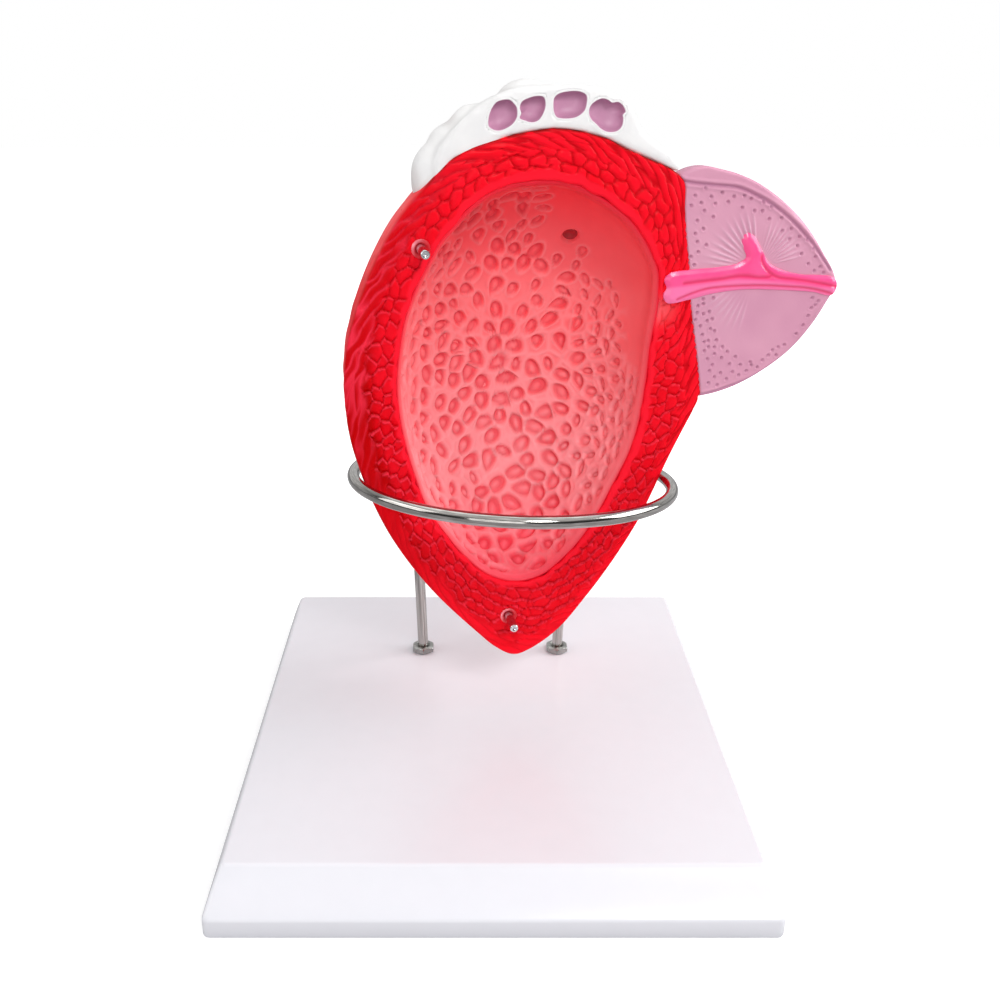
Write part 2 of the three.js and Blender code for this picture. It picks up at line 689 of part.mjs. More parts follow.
function standGroup() {
  const stand = new THREE.Group();
  stand.add(part('base_shell', baseShell(), WHITE_ABS));
  stand.add(part('support_ring', supportRing(), CHROME));
  for (const { side, x } of FEET) {
    stand.add(part(`upper_nut_${side}`, nut(x, BASE_HEIGHT + FIT_GAP), STEEL));
    stand.add(part(`washer_${side}`, washer(x, WASHER_Z), STEEL));
    stand.add(part(`lower_nut_${side}`, nut(x, LOWER_NUT_Z), STEEL));
  }
  return stand;
}

// The whole model, with its origin on the ground below the middle of its bounding box
function wholeModel() {
  const model = new THREE.Group();
  model.add(standGroup());
  model.add(organGroup());
  model.updateMatrixWorld(true);
  const middle = new THREE.Box3().setFromObject(model, true).getCenter(new THREE.Vector3());
  model.position.set(-middle.x, -middle.y, 0);
  return model;
}

export default wholeModel();
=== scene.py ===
# Half of a bladder model in a chromed wire ring on a white base, dressed for the camera.
# Sizes are in millimetres and become metres as each mesh is written.
from math import asin, atan2, cos, degrees, hypot, pi, radians, sin, sqrt

import bmesh
import bpy
import numpy as np
from mathutils import Matrix, Vector
from mathutils.kdtree import KDTree


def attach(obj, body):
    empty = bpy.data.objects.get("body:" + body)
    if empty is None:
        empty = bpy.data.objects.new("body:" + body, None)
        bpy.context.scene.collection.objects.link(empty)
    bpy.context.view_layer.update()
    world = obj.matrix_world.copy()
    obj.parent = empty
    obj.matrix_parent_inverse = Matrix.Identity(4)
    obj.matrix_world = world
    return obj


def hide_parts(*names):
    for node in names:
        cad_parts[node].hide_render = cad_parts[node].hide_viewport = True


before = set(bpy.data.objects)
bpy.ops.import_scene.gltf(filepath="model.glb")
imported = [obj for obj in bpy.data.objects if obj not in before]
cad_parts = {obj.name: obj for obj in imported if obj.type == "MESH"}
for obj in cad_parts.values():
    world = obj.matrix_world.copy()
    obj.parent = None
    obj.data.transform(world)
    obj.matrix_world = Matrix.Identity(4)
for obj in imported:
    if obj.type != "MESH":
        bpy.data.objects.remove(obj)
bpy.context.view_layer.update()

MM = 0.001

# The stand's frame, and the half organ's own: x right, y behind the cut face, z up
STAND = Matrix.Translation((-17.3608, 5.15, 0))
ORGAN_AT, ORGAN_TURN, ORGAN_LEAN = (-7.9608, -6.85, 132.4), radians(11), radians(3)
ORGAN = Matrix.Translation(ORGAN_AT) @ Matrix.Rotation(ORGAN_TURN, 4, "Z") @ Matrix.Rotation(ORGAN_LEAN, 4, "X")

# Outlines in the cut face
WALL_OUTLINE = [
    (78, 33), (77, 41), (75, 51), (72.5, 62), (70, 74), (68, 88), (66, 98), (64.3, 109), (63, 119), (58, 123),
    (51, 126), (41, 130), (31, 134.5), (21, 137), (12, 138), (3, 137), (-8, 135), (-19, 132), (-28, 126.5),
    (-36, 118), (-45, 107.5), (-50.5, 99), (-55.5, 89.5), (-60, 79), (-63.5, 69), (-66, 59), (-67.3, 48),
    (-67.3, 37), (-65.8, 23), (-62, 8), (-58, -4), (-51, -20), (-41, -37), (-30, -52), (-14, -70), (-5, -79),
    (3, -83.5), (11, -81), (23, -72), (34, -58), (41, -48), (49, -35), (56.4, -21), (61.2, -9), (66.9, 6),
    (72, 18), (76, 27),
]
CAVITY_OUTLINE = [
    (56.8, 78), (56, 85), (51, 95), (43, 105), (30, 114), (17, 119.5), (0, 119.5), (-10, 117), (-18, 112),
    (-25, 105), (-31, 98), (-35, 91), (-40, 81), (-44, 70), (-46, 60), (-47.5, 45), (-46.5, 30), (-44, 17),
    (-40.5, 4), (-36, -9), (-28, -22), (-19, -34), (-9, -43), (3, -47), (14, -45), (23, -38), (31, -29),
    (38, -17), (44, -4), (50, 10), (53, 23), (54.7, 42), (55.3, 56), (56.8, 70),
]
PROSTATE_OUTLINE = [
    (131.5, 77), (130, 82), (125, 89), (118, 98), (110, 106), (100, 113.5), (90, 119), (79, 122.5), (69, 124),
    (58, 119), (48, 102), (44, 80), (48, 56), (58, 40), (70, 33), (80, 33), (93, 36.5), (106, 43.5),
    (116, 51.5), (123.5, 61), (128.5, 70),
]
STRIP_OUTLINE = [
    (131.4, 77), (129.5, 80.3), (115, 82), (107, 84), (101, 87), (97, 92.5), (93.5, 97.5), (90.5, 99),
    (88.5, 97), (89.3, 93.5), (91, 89.5), (88, 87.3), (80, 86), (68, 85.3), (60, 84.2), (58, 81.7),
    (59.2, 78.6), (58.2, 75.5), (60, 72.6), (69, 73.6), (78, 75.6), (91, 76.8), (108, 76), (121, 74.8),
    (129.8, 73.3),
]
LUMEN_OUTLINES = [
    [
        (-12.8, 139.3), (-12.8, 142.3), (-11.7, 145.3), (-10.1, 147.2), (-7.8, 147.9), (-5.4, 147.9),
        (-3.9, 146.7), (-2.8, 145.2), (-2.7, 142.2), (-4, 140.1), (-5.6, 138.9), (-8.9, 137.7),
        (-11.2, 138.1),
    ],
    [
        (-1.6, 141.9), (-1, 143.4), (-1.6, 145.2), (-0.9, 147.3), (1.9, 148.6), (3.8, 149.1), (6.9, 148.8),
        (7.7, 146.4), (7.1, 143.7), (5.4, 141.2), (3.2, 140.4), (0.5, 141),
    ],
    [
        (10.7, 146), (11, 148.7), (12.6, 149.9), (16.5, 150.7), (20.5, 150.5), (22.7, 149.3), (22.9, 146.6),
        (22.2, 144.2), (19.6, 142.2), (16, 141.6), (12.2, 142.1), (11.1, 143.6),
    ],
    [
        (24.1, 143.2), (24.3, 145.4), (26, 147.2), (28.6, 148.2), (31, 147.7), (32.4, 146.8), (34.7, 147),
        (36.5, 145.9), (37.7, 143.6), (36.7, 142.7), (37, 141.6), (36.7, 138.8), (35.1, 137.2), (32.1, 136.8),
        (29.3, 137.7), (26.8, 139.8), (24.9, 141.4),
    ],
]

# Depths, poles and squareness of the domes behind the cut face
WALL_POLE, WALL_DEPTH = (5, 22), 70
CAVITY_POLE, CAVITY_DEPTH, CAVITY_SQUARENESS = (5, 36), 50, 2.4
PROSTATE_POLE, PROSTATE_DEPTH, PROSTATE_SQUARENESS = (84, 80), 38, 2.2
LINING_INSET = 2.3
LINING_DEPTH = CAVITY_DEPTH - LINING_INSET
FACE_CENTRE = (4, 36)

ORIFICE_AT, ORIFICE_RADIUS = (29, 93), 2.8
PINS = {"upper": (-37.5, 96.5), "lower": (0, -63)}

# The rod's feet on the base, the rod and the base's plate
FEET, FOOT_Y = {"left": -30.9, "right": 35.6}, 49.5
ROD_RADIUS = 2.5
BASE_TOP, BASE_WALL = 20.0, 3.0


# Small helpers for curves and fields

def smoothstep(low, high, value):
    share = np.clip((value - low) / (high - low), 0, 1)
    return share * share * (3 - 2 * share)


def bell(value, middle, width):
    return np.exp(-((value - middle) / width) ** 2)


def bearing_bell(bearing, middle, width):
    """A bell over bearings in degrees, which run round."""
    return bell((bearing - middle + 180) % 360 - 180, 0, width)


def ripple(points, wavelength, seed):
    """Smooth uneven field between about -1 and 1, from a few plane waves."""
    rng = np.random.default_rng(seed)
    total = np.zeros(len(points))
    for _ in range(7):
        heading = rng.normal(size=points.shape[1])
        heading *= 2 * pi / wavelength * rng.uniform(0.6, 1.5) / np.linalg.norm(heading)
        total += np.sin(points @ heading + rng.uniform(0, 2 * pi))
    return total / 3.2


def closed(curve):
    return np.vstack([curve, curve[:1]])


def through_points(knots, per_span, loop=True):
    """A smooth curve through the knots, as the part's own outlines are drawn."""
    knots = np.asarray(knots, float)
    spans_wanted = len(knots) if loop else len(knots) - 1
    if not loop:
        knots = np.vstack([2 * knots[0] - knots[1], knots, 2 * knots[-1] - knots[-2]])
    before = -1 if loop else 0
    share = np.linspace(0, 1, per_span, endpoint=False)[:, None]
    spans = []
    for i in range(spans_wanted):
        a, b, c, d = (knots[(i + before + k) % len(knots)] for k in range(4))
        ab, bc, cd = (max(sqrt(np.linalg.norm(q - p)), 1e-4) for p, q in ((a, b), (b, c), (c, d)))
        out = ((b - a) / ab - (c - a) / (ab + bc) + (c - b) / bc) * bc
        into = ((c - b) / bc - (d - b) / (bc + cd) + (d - c) / cd) * bc
        square = 3 * (c - b) - 2 * out - into
        cube = 2 * (b - c) + out + into
        spans.append(b + out * share + square * share ** 2 + cube * share ** 3)
    if not loop:
        spans.append(knots[-2:-1])
    return np.vstack(spans)


def at_angles(knots, centre, angles):
    """The points where rays from the centre meet a closed outline."""
    curve = through_points(knots, 14)
    away = curve - centre
    reach = np.interp(angles, np.arctan2(away[:, 1], away[:, 0]), np.linalg.norm(away, axis=1), period=2 * pi)
    return centre + np.stack([np.cos(angles), np.sin(angles)], 1) * reach[:, None]


def polyline_distance(points, line):
    """Distance from each point to a polyline in the same plane."""
    least = np.full(len(points), np.inf)
    for a, b in zip(line[:-1], line[1:]):
        along = b - a
        share = np.clip((points - a) @ along / max(along @ along, 1e-9), 0, 1)
        least = np.minimum(least, np.linalg.norm(points - a - share[:, None] * along, axis=1))
    return least


def inside_outline(points, outline):
    inside = np.zeros(len(points), bool)
    x, z = points.T
    for (x0, z0), (x1, z1) in zip(outline, np.roll(outline, -1, 0)):
        if z0 != z1:
            inside ^= ((z0 > z) != (z1 > z)) & (x < (x1 - x0) * (z - z0) / (z1 - z0) + x0)
    return inside


def nearest(points, seeds, count):
    """Distance to, and index of, the nearest seeds of each point."""
    tree = KDTree(len(seeds))
    for i, seed in enumerate(seeds):
        tree.insert(seed, i)
    tree.balance()
    found = np.array([[(distance, i) for _, i, distance in tree.find_n(point, count)] for point in points])
    return found[:, :, 0], found[:, :, 1].astype(int)


# Meshes

def in_face(flat, depth):
    """Points of the cut face, each set back by its depth."""
    return np.column_stack([flat[:, 0], np.broadcast_to(depth, len(flat)), flat[:, 1]])


def placed(points, own_frame):
    """Points of the organ's or the stand's own frame, in metres."""
    place = np.array(own_frame)
    return (points @ place[:3, :3].T + place[:3, 3]) * MM


def finish_piece(bm, name, smooth_angle=None):
    mesh = bpy.data.meshes.new(name)
    bm.to_mesh(mesh)
    bm.free()
    mesh.shade_smooth()
    if smooth_angle:
        mesh.set_sharp_from_angle(angle=radians(smooth_angle))
    piece = bpy.data.objects.new(name, mesh)
    bpy.context.scene.collection.objects.link(piece)
    return piece


def wrapped_sheet(name, rows, own_frame, paint=None, smooth_angle=None):
    """A grid whose rows close into rings; its first and last row may shrink to a pole."""
    rows = np.asarray(rows, float)
    high, wide = rows.shape[:2]
    spots = placed(rows.reshape(-1, 3), own_frame)
    bm = bmesh.new()
    layers = []
    for key, value in (paint or {}).items():
        layers.append((bm.verts.layers.float.new(key), np.asarray(value, float).reshape(-1)))
    bmesh.ops.create_grid(bm, x_segments=wide - 1, y_segments=high - 1, size=0.5)
    for vert in bm.verts:
        spot = round((vert.co.y + 0.5) * (high - 1)) * wide + round((vert.co.x + 0.5) * (wide - 1))
        vert.co = spots[spot]
        for layer, values in layers:
            vert[layer] = values[spot]
    bmesh.ops.remove_doubles(bm, verts=bm.verts, dist=1e-7)
    bmesh.ops.dissolve_degenerate(bm, edges=bm.edges, dist=1e-8)
    bmesh.ops.recalc_face_normals(bm, faces=bm.faces)
    return finish_piece(bm, name, smooth_angle)


def lathe(profile, steps):
    """A profile of radius and height, spun once round the upright axis."""
    bm = bmesh.new()
    verts = [bm.verts.new((radius, 0, height)) for radius, height in profile]
    edges = [bm.edges.new(pair) for pair in zip(verts, verts[1:])]
    bmesh.ops.spin(
        bm, geom=verts + edges, cent=(0, 0, 0), axis=(0, 0, 1), angle=2 * pi, steps=steps, use_merge=True)
    bmesh.ops.remove_doubles(bm, verts=bm.verts, dist=1e-4)
    bmesh.ops.recalc_face_normals(bm, faces=bm.faces)
    return bm


def set_down(bm, name, place, smooth_angle=None):
    """Moves a turned shape from its own axis to its place and finishes it."""
    bmesh.ops.transform(bm, matrix=Matrix.Scale(MM, 4) @ place, verts=bm.verts)
    return finish_piece(bm, name, smooth_angle)


def sheet_normals(rows):
    """Unit normals of a sheet whose columns close into rings."""
    ring = np.asarray(rows, float)[:, :-1]
    across = np.roll(ring, -1, 1) - np.roll(ring, 1, 1)
    normals = np.cross(across, np.gradient(ring, axis=0))
    normals /= np.maximum(np.linalg.norm(normals, axis=2, keepdims=True), 1e-9)
    return np.concatenate([normals, normals[:, :1]], 1)


def rounded_edge(from_edge, radius):
    """How far a rounded edge falls back at each distance from it."""
    return radius - np.sqrt(radius ** 2 - (radius - np.minimum(from_edge, radius)) ** 2)


def dome_turns(first, rings):
    """Even steps of a quarter turn, after one that carries on from the face's rounded edge."""
    turns = np.linspace(0, pi / 2, rings + 1)
    return np.concatenate([[first * 1.8], turns[turns > first * 2.6]])


def dome_rows(outline, pole, depth, squareness, turns):
    """Rings of a half dome behind the cut face; turn 0 is the outline and a quarter turn the pole."""
    power = 2 / np.broadcast_to(squareness, len(outline))
    rows = []
    for turn in turns:
        flat = pole + (outline - pole) * (max(cos(turn), 0) ** power)[:, None]
        rows.append(in_face(flat, depth * sin(turn) ** power))
    return np.array(rows)


def swollen(rows, normals, swell):
    """Rings moved along their normals, the last one drawn together at the pole."""
    rows = rows + normals * swell.reshape(rows.shape[:2])[:, :, None]
    rows[-1] = rows[-1].mean(0)
    return rows


# Half organ: muscle wall

def wall_squareness(outline):
    lift = smoothstep(22, 82, outline[:, 1])
    left = smoothstep(-70, 70, -outline[:, 0])
    return 2 + 0.6 * lift * (0.4 + 0.6 * left)


def lobes(along, across, angle, length, cell, row, climb, seed):
    """Pillows in a jittered brick pattern round the band, climbing outwards by whole rows in one turn.

    Returns how far each point lies from its pillow's middle, 0 to 1, the gap to the next pillow,
    and how far up that one lies, -1 to 1."""
    rng = np.random.default_rng(seed)
    shift = round(climb * length / row) * row
    stretch = cell / row
    columns = round(length / cell)
    first_level, last_level = int((np.min(across) - shift) / row) - 2, int(np.max(across) / row) + 2
    seeds = []
    for level in range(first_level, last_level + 1):
        for k in range(columns):
            at = (k + 0.5 * (level % 2) + rng.uniform(-0.28, 0.28)) * length / columns
            over = (level + rng.uniform(-0.24, 0.24)) * row
            for turn in (-1, 0, 1):
                if -2 * cell < at + turn * length < length + 2 * cell:
                    seeds.append(((at + turn * length) / stretch, over - turn * shift, 0))
    seeds = np.array(seeds)
    points = np.column_stack([along / stretch, across - shift * along / length, np.zeros(len(along))])
    reach, index = nearest(points, seeds, 2)
    onwards = seeds[index[:, 1]] - seeds[index[:, 0]]
    onwards /= np.linalg.norm(onwards, axis=1, keepdims=True)
    upward = onwards[:, 0] * np.cos(angle) + onwards[:, 1] * np.sin(angle)
    return 2 * reach[:, 0] / np.maximum(reach.sum(1), 1e-6), reach[:, 1] - reach[:, 0], upward


def face_relief(along, out, width, length, angle, flat):
    """Height of the cut muscle above its plane, and how strongly each paint goes there.

    Scales lie inside and long fibres outside. The scales are pillows at the top, and elsewhere plates
    with raised upper edges. Bearings are in degrees, 0 to the right and 90 up."""
    bearing = np.degrees(angle) % 360
    top = bearing_bell(bearing, 90, 45)
    left = bearing_bell(bearing, 190, 50)
    low_left = bearing_bell(bearing, 215, 40)
    pillows = bearing_bell(bearing, 75, 75)
    lip = 1.5 + 2.4 * top + 1.6 * bearing_bell(bearing, -30, 45) + 0.6 * ripple(flat, 8, 2)
    share = (out - lip) / np.maximum(width - lip, 1)
    wander = 0.5 * ripple(flat, 11, 3)

    uneven = along + 0.8 * ripple(flat, 13, 4)
    inner, gap, upward = lobes(uneven, out + wander, angle, length, cell=6.4, row=4.3, climb=0.12, seed=11)
    # Upper edges of the plates, which face the light; they are raised a little, and the pale paint laid on them is a
    # painted highlight.
    scale_crest = bell(gap, 0.35, 0.5) * smoothstep(0.1, 0.8, upward) * (1 - pillows)
    scales = (0.55 + 0.55 * pillows) * (1 - inner ** (5 - 2 * pillows))
    scales += (0.85 - 0.45 * pillows) * upward * bell(gap, 0, 1.2) + 0.35 * scale_crest
    # Painted shade in the gaps between the scales, stronger below each plate, where its shadow falls.
    shadow_below_plate = 0.25 + 0.75 * smoothstep(0.4, -0.6, upward)
    scale_groove_shade = (1 - smoothstep(0.1, 1.0, gap)) * (pillows + (1 - pillows) * shadow_below_plate)

    inner, gap, upward = lobes(along, out + 0.5 * wander, angle, length, cell=26, row=2.9, climb=0.4, seed=12)
    fibres = 0.95 * (1 - inner ** 2.4)
    fibres += (0.25 + 0.9 * left * smoothstep(150, 200, 330 - bearing)) * upward * bell(gap, 0, 1.1)
    # A painted highlight along the fibres' edges on the upper left.
    fibre_crest_highlight = bell(gap, 0, 0.7) * bearing_bell(bearing, 155, 38)
    fibre_groove_shade = 1 - smoothstep(0.1, 1.0, gap)

    outer = smoothstep(0.48, 0.62, share + 0.08 * ripple(flat, 9, 7) - 0.24 * bearing_bell(bearing, -60, 75))
    quiet = 1 - 0.72 * left * smoothstep(0.45, 0.7, share) - 0.5 * bearing_bell(bearing, -75, 55)
    in_field = smoothstep(-0.03, 0.05, share)
    scaly, fibrous = in_field * (1 - outer), in_field * outer
    height = scaly * (scales - 0.3 - 0.4 * pillows) + fibrous * quiet * (fibres - 0.6)
    height += (1 - in_field) * (0.1 + 0.16 * low_left * np.sin(2 * pi * out / 1.5))
    # Painted shade: the outer band on the left and upper left is painted a darker red where it would lie in shade; the
    # plates below the top get some deeper red as well.
    shade_and_deep_red = smoothstep(0.3, 0.6, share) * left + 0.45 * smoothstep(0.4, 0.8, share) * bearing_bell(bearing, 130, 25)
    under_vesicle = smoothstep(50, 56, bearing) * smoothstep(120, 112, bearing)
    return height, {
        "groove_shade": scaly * scale_groove_shade + fibrous * quiet * fibre_groove_shade,
        "crest_highlight": scaly * scale_crest + fibrous * fibre_crest_highlight,
        "shade_and_deep_red": np.clip(shade_and_deep_red + 0.3 * scaly * (1 - pillows), 0, 1),
        "lip": 1 - in_field,
        "seam": smoothstep(0.9, 0.4, width - out) * under_vesicle * smoothstep(-0.9, 0.1, ripple(flat, 5, 8)),
    }


def held_outside_wall(spots, share):
    """Moves points that lie far inside the wall out to the given share of its dome."""
    away = spots[:, [0, 2]] - WALL_POLE
    reach = np.maximum(np.hypot(away[:, 0], away[:, 1]), 1e-6)
    edge = at_angles(WALL_OUTLINE, WALL_POLE, np.arctan2(away[:, 1], away[:, 0]))
    radius = np.linalg.norm(edge - WALL_POLE, axis=1)
    power = wall_squareness(edge)
    depth = np.clip(spots[:, 1] / WALL_DEPTH, 0, share - 0.01)
    least = radius * (share ** power - depth ** power) ** (1 / power)
    moved = spots.copy()
    moved[:, [0, 2]] = WALL_POLE + away * np.maximum(least / reach, 1)[:, None]
    return moved


def muscle_wall():
    columns, cavity_rings, face_rings, dome_rings = 1030, 11, 60, 25
    lip_round, edge_round, strand_count = 1.1, 1.3, 52
    angles = np.linspace(-pi, pi, columns + 1)
    inner = at_angles(CAVITY_OUTLINE, FACE_CENTRE, angles)
    outer = at_angles(WALL_OUTLINE, FACE_CENTRE, angles)
    by_prostate = smoothstep(64, 66, outer[:, 0]) * smoothstep(30, 34, outer[:, 1])
    outer[:, 0] += 0.45 * by_prostate * ripple(outer, 3, 9)
    outer[-1] = outer[0]
    width = np.linalg.norm(outer - inner, axis=1)
    steps = np.linalg.norm(np.diff((inner + outer) / 2, axis=0), axis=1)
    along = np.concatenate([[0], np.cumsum(steps)])

    # The cavity, which the lining covers
    first = asin((lip_round / CAVITY_DEPTH) ** (CAVITY_SQUARENESS / 2))
    cavity = inner + (outer - inner) * (0.9 / width)[:, None]
    turns = np.linspace(pi / 2, first, cavity_rings)
    rows = list(dome_rows(cavity, CAVITY_POLE, CAVITY_DEPTH + 1, CAVITY_SQUARENESS, turns))
    rows[0][:] = rows[0].mean(0)
    paint = {key: [] for key in ("groove_shade", "crest_highlight", "shade_and_deep_red", "lip", "spout", "seam")}
    for key, values in paint.items():
        values += [np.full(columns + 1, float(key in ("lip", "spout")))] * cavity_rings

    # The cut face, with its dip for the spout and a well round each pin
    inner = inner + (outer - inner) * ((0.35 * ripple(inner, 10, 13) - 0.35) / width)[:, None]
    width = np.linalg.norm(outer - inner, axis=1)
    for share in np.linspace(0, 1, face_rings):
        flat = inner + (outer - inner) * share
        out = width * share
        height, face_paint = face_relief(along, out, width, along[-1], angles, flat)
        height *= smoothstep(0, 2.2, width - out) * smoothstep(0.2, 1.6, out)
        spout = bell(flat[:, 0], 57.5, 5) * bell(flat[:, 1], 69.5, 4.6)
        back = rounded_edge(out, lip_round) + rounded_edge(width - out, edge_round) + 2.2 * spout
        for at in PINS.values():
            away = np.linalg.norm(flat - at, axis=1)
            height *= smoothstep(3.6, 5.2, away)
            back += 3.2 * (1 - smoothstep(3.1, 3.5, away))
        rows.append(in_face(flat, back - height))
        for key, values in {**face_paint, "spout": spout}.items():
            paint[key].append(values)

    # The dome behind, combed by faint strands
    turns = dome_turns(asin(edge_round / WALL_DEPTH), dome_rings)
    dome = dome_rows(outer, WALL_POLE, WALL_DEPTH, wall_squareness(outer), turns)
    normals = sheet_normals([rows[-1], *dome])[1:]
    spots = dome.reshape(-1, 3)
    away = spots[:, [0, 2]] - WALL_POLE
    strands = np.sin(np.arctan2(away[:, 1], away[:, 0]) * strand_count + 2.4 * ripple(spots, 38, 21))
    fade = smoothstep(4, 34, np.hypot(away[:, 0], away[:, 1])) * smoothstep(-0.8, 0.5, ripple(spots, 30, 23))
    swell = (0.13 * strands * fade + 0.12 * ripple(spots, 30, 22)) * smoothstep(1, 8, spots[:, 1])
    rows.extend(swollen(dome, normals, swell))
    still = np.zeros(dome.shape[:2])
    # Painted shade along the grooves between the strands.
    strand_groove_shade = 0.35 * (smoothstep(-0.4, -1.0, strands) * fade).reshape(still.shape)
    for key, values in paint.items():
        values.extend(strand_groove_shade if key == "groove_shade" else still)
    return wrapped_sheet("muscle_wall_cast", rows, ORGAN, paint)


# Half organ: lining of the cavity with its pits

def lining_pits(rows, normals):
    """Oval pits scattered over the lining; returns how far each point sinks, and the ridges between."""
    tries, neighbours = 14000, 4
    # Smooth are the lip, the lowest point and the upper right
    spots, facing = rows.reshape(-1, 3), normals.reshape(-1, 3)
    rng = np.random.default_rng(29)
    seeds = []
    for i in rng.permutation(len(spots))[:tries]:
        x, depth, z = spots[i]
        upper_right = (x > 17 and z > 86) or (x > 36 and z > 74) or (x > 49 and z > 38)
        if depth < 4.8 or z < -43 or upper_right:
            continue
        spread = 6.5 + 0.6 * smoothstep(75, 35, z) - 1.7 * smoothstep(25, 46, x)
        if seeds and np.min(np.linalg.norm(spots[seeds] - spots[i], axis=1)) < spread:
            continue
        seeds.append(i)
    middle = spots[seeds]
    count = len(seeds)
    low = smoothstep(70, 25, middle[:, 2])
    lean = rng.normal(0, 0.6, count) * (1 + 0.7 * low) + np.where(middle[:, 0] < -10, 0.3, -0.25)
    size = (1 + 0.15 * low) * (1 - 0.3 * smoothstep(25, 46, middle[:, 0]))
    long_half = rng.uniform(2.9, 5.2, count) * (size + 0.12 * low)
    short_half = np.clip(long_half * rng.uniform(0.45, 0.85, count), 1.9, 3.2) * size
    depth_of = rng.uniform(1.45, 1.8, count) * (1 - 0.55 * smoothstep(-30, -43, middle[:, 0])) * size
    taper = rng.uniform(-0.2, 0.6, count)
    bump = rng.uniform(0.45, 0.85, count)
    right = np.cross([0, 0, 1.0], facing[seeds])
    right /= np.linalg.norm(right, axis=1, keepdims=True)
    up = np.cross(facing[seeds], right)
    up *= np.sign(up[:, 2:3])
    reach, index = nearest(spots, middle, neighbours)
    gap = reach[:, 1] - reach[:, 0]
    sink, rim = np.zeros((2, len(spots)))
    for who in index.T:
        offset = spots - middle[who]
        x = np.einsum("ij,ij->i", offset, right[who])
        z = np.einsum("ij,ij->i", offset, up[who])
        major = x * np.sin(lean[who]) + z * np.cos(lean[who])
        minor = x * np.cos(lean[who]) - z * np.sin(lean[who])
        slim = short_half[who] * (1 + taper[who] * np.clip(major / long_half[who], -1, 1))
        from_middle = np.sqrt((major / long_half[who]) ** 2 + (minor / slim) ** 2)
        bowl = 1 - smoothstep(0.62, 1.0, from_middle)
        middle_rise = bump[who] * (1 - smoothstep(0.1, 0.68, from_middle))
        heading = 1 + 0.3 * np.clip((z - x) / (1.4 * long_half[who]), -1, 1)
        sink = np.maximum(sink, depth_of[who] * heading * bowl * (1 - middle_rise))
        rim = np.maximum(rim, bell(from_middle, 1.1, 0.17))
    # Ridges between the pits, and raised pit rims; the pale paint laid on them is a painted highlight.
    ridge = (1 - smoothstep(0.0, 3.2, gap)) * smoothstep(9, 6, reach[:, 0]) * smoothstep(78, 48, spots[:, 2])
    ridge = np.maximum(ridge, 0.7 * rim * (1 - smoothstep(0.2, 0.9, sink)))
    return sink * smoothstep(-0.3, 1.0, gap), ridge


def mucosa_lining():
    columns, back_rings, front_rings = 640, 16, 112
    clearance = 0.3
    angles = np.linspace(-pi, pi, columns + 1)
    edge = at_angles(CAVITY_OUTLINE, CAVITY_POLE, angles)
    tangent = np.gradient(edge, axis=0)
    tangent[0] = tangent[-1] = edge[1] - edge[-2]
    tangent /= np.linalg.norm(tangent, axis=1, keepdims=True)
    inwards = np.column_stack([-tangent[:, 1], tangent[:, 0]])
    back_edge = edge + inwards * clearance
    face_edge = edge + inwards * LINING_INSET
    turns = np.linspace(pi / 2, 0.06, back_rings)
    back = dome_rows(back_edge, CAVITY_POLE, CAVITY_DEPTH - clearance, CAVITY_SQUARENESS, turns)
    back[0] = back[0].mean(0)
    lip_rings = ((-0.5, 2.6), (-0.15, 1.1), (0.08, 0.8), (0.3, 0.95), (0.6, 1.5), (0.85, 2.3))
    round_lip = [in_face(back_edge + (face_edge - back_edge) * share, depth) for share, depth in lip_rings]
    turns = np.linspace(asin((3.2 / LINING_DEPTH) ** (CAVITY_SQUARENESS / 2)), pi / 2, front_rings)
    front = dome_rows(face_edge, CAVITY_POLE, LINING_DEPTH, CAVITY_SQUARENESS, turns)

    normals = sheet_normals(front)
    towards_viewer = np.einsum("ijk,ijk->ij", normals, front - (CAVITY_POLE[0], 0, CAVITY_POLE[1])) <= 0
    normals[towards_viewer] *= -1
    sink, ridge = lining_pits(front, normals)
    spots = front.reshape(-1, 3)
    calm = smoothstep(3.4, 6, spots[:, 1])
    sink *= calm
    ridge *= calm
    away = np.linalg.norm(spots[:, [0, 2]] - ORIFICE_AT, axis=1)
    mouth = 1 - smoothstep(ORIFICE_RADIUS - 0.35, ORIFICE_RADIUS + 0.5, away)
    push = np.minimum(sink, 1.7) - 0.45 * ridge + 1.7 * mouth + 0.25 * ripple(spots, 26, 31) * calm
    push -= 0.35 * bell(away, ORIFICE_RADIUS + 0.9, 0.7)
    front = swollen(front, normals, push)

    rows = np.array([*back, *round_lip, *front])
    front_at = len(back) + len(round_lip)
    blank = np.zeros((front_at, columns + 1))
    x, depth = front[:, :, 0], front[:, :, 1]
    lip = np.concatenate([blank, 0.35 * smoothstep(13, 3, depth) * smoothstep(5, 40, x)])
    lip[len(back):front_at] = 1
    lip[front_at - 3:front_at] = np.array([0.8, 0.55, 0.4])[:, None]
    # The pits are painted darker the further they sink: painted shade.
    return wrapped_sheet("mucosa_lining_cast", rows, ORGAN, {
        "pit_shade": np.concatenate([blank, sink.reshape(x.shape)]),
        "ridge": np.concatenate([blank, ridge.reshape(x.shape)]),
        "lip": lip,
        "high": rows[:, :, 2],
    })


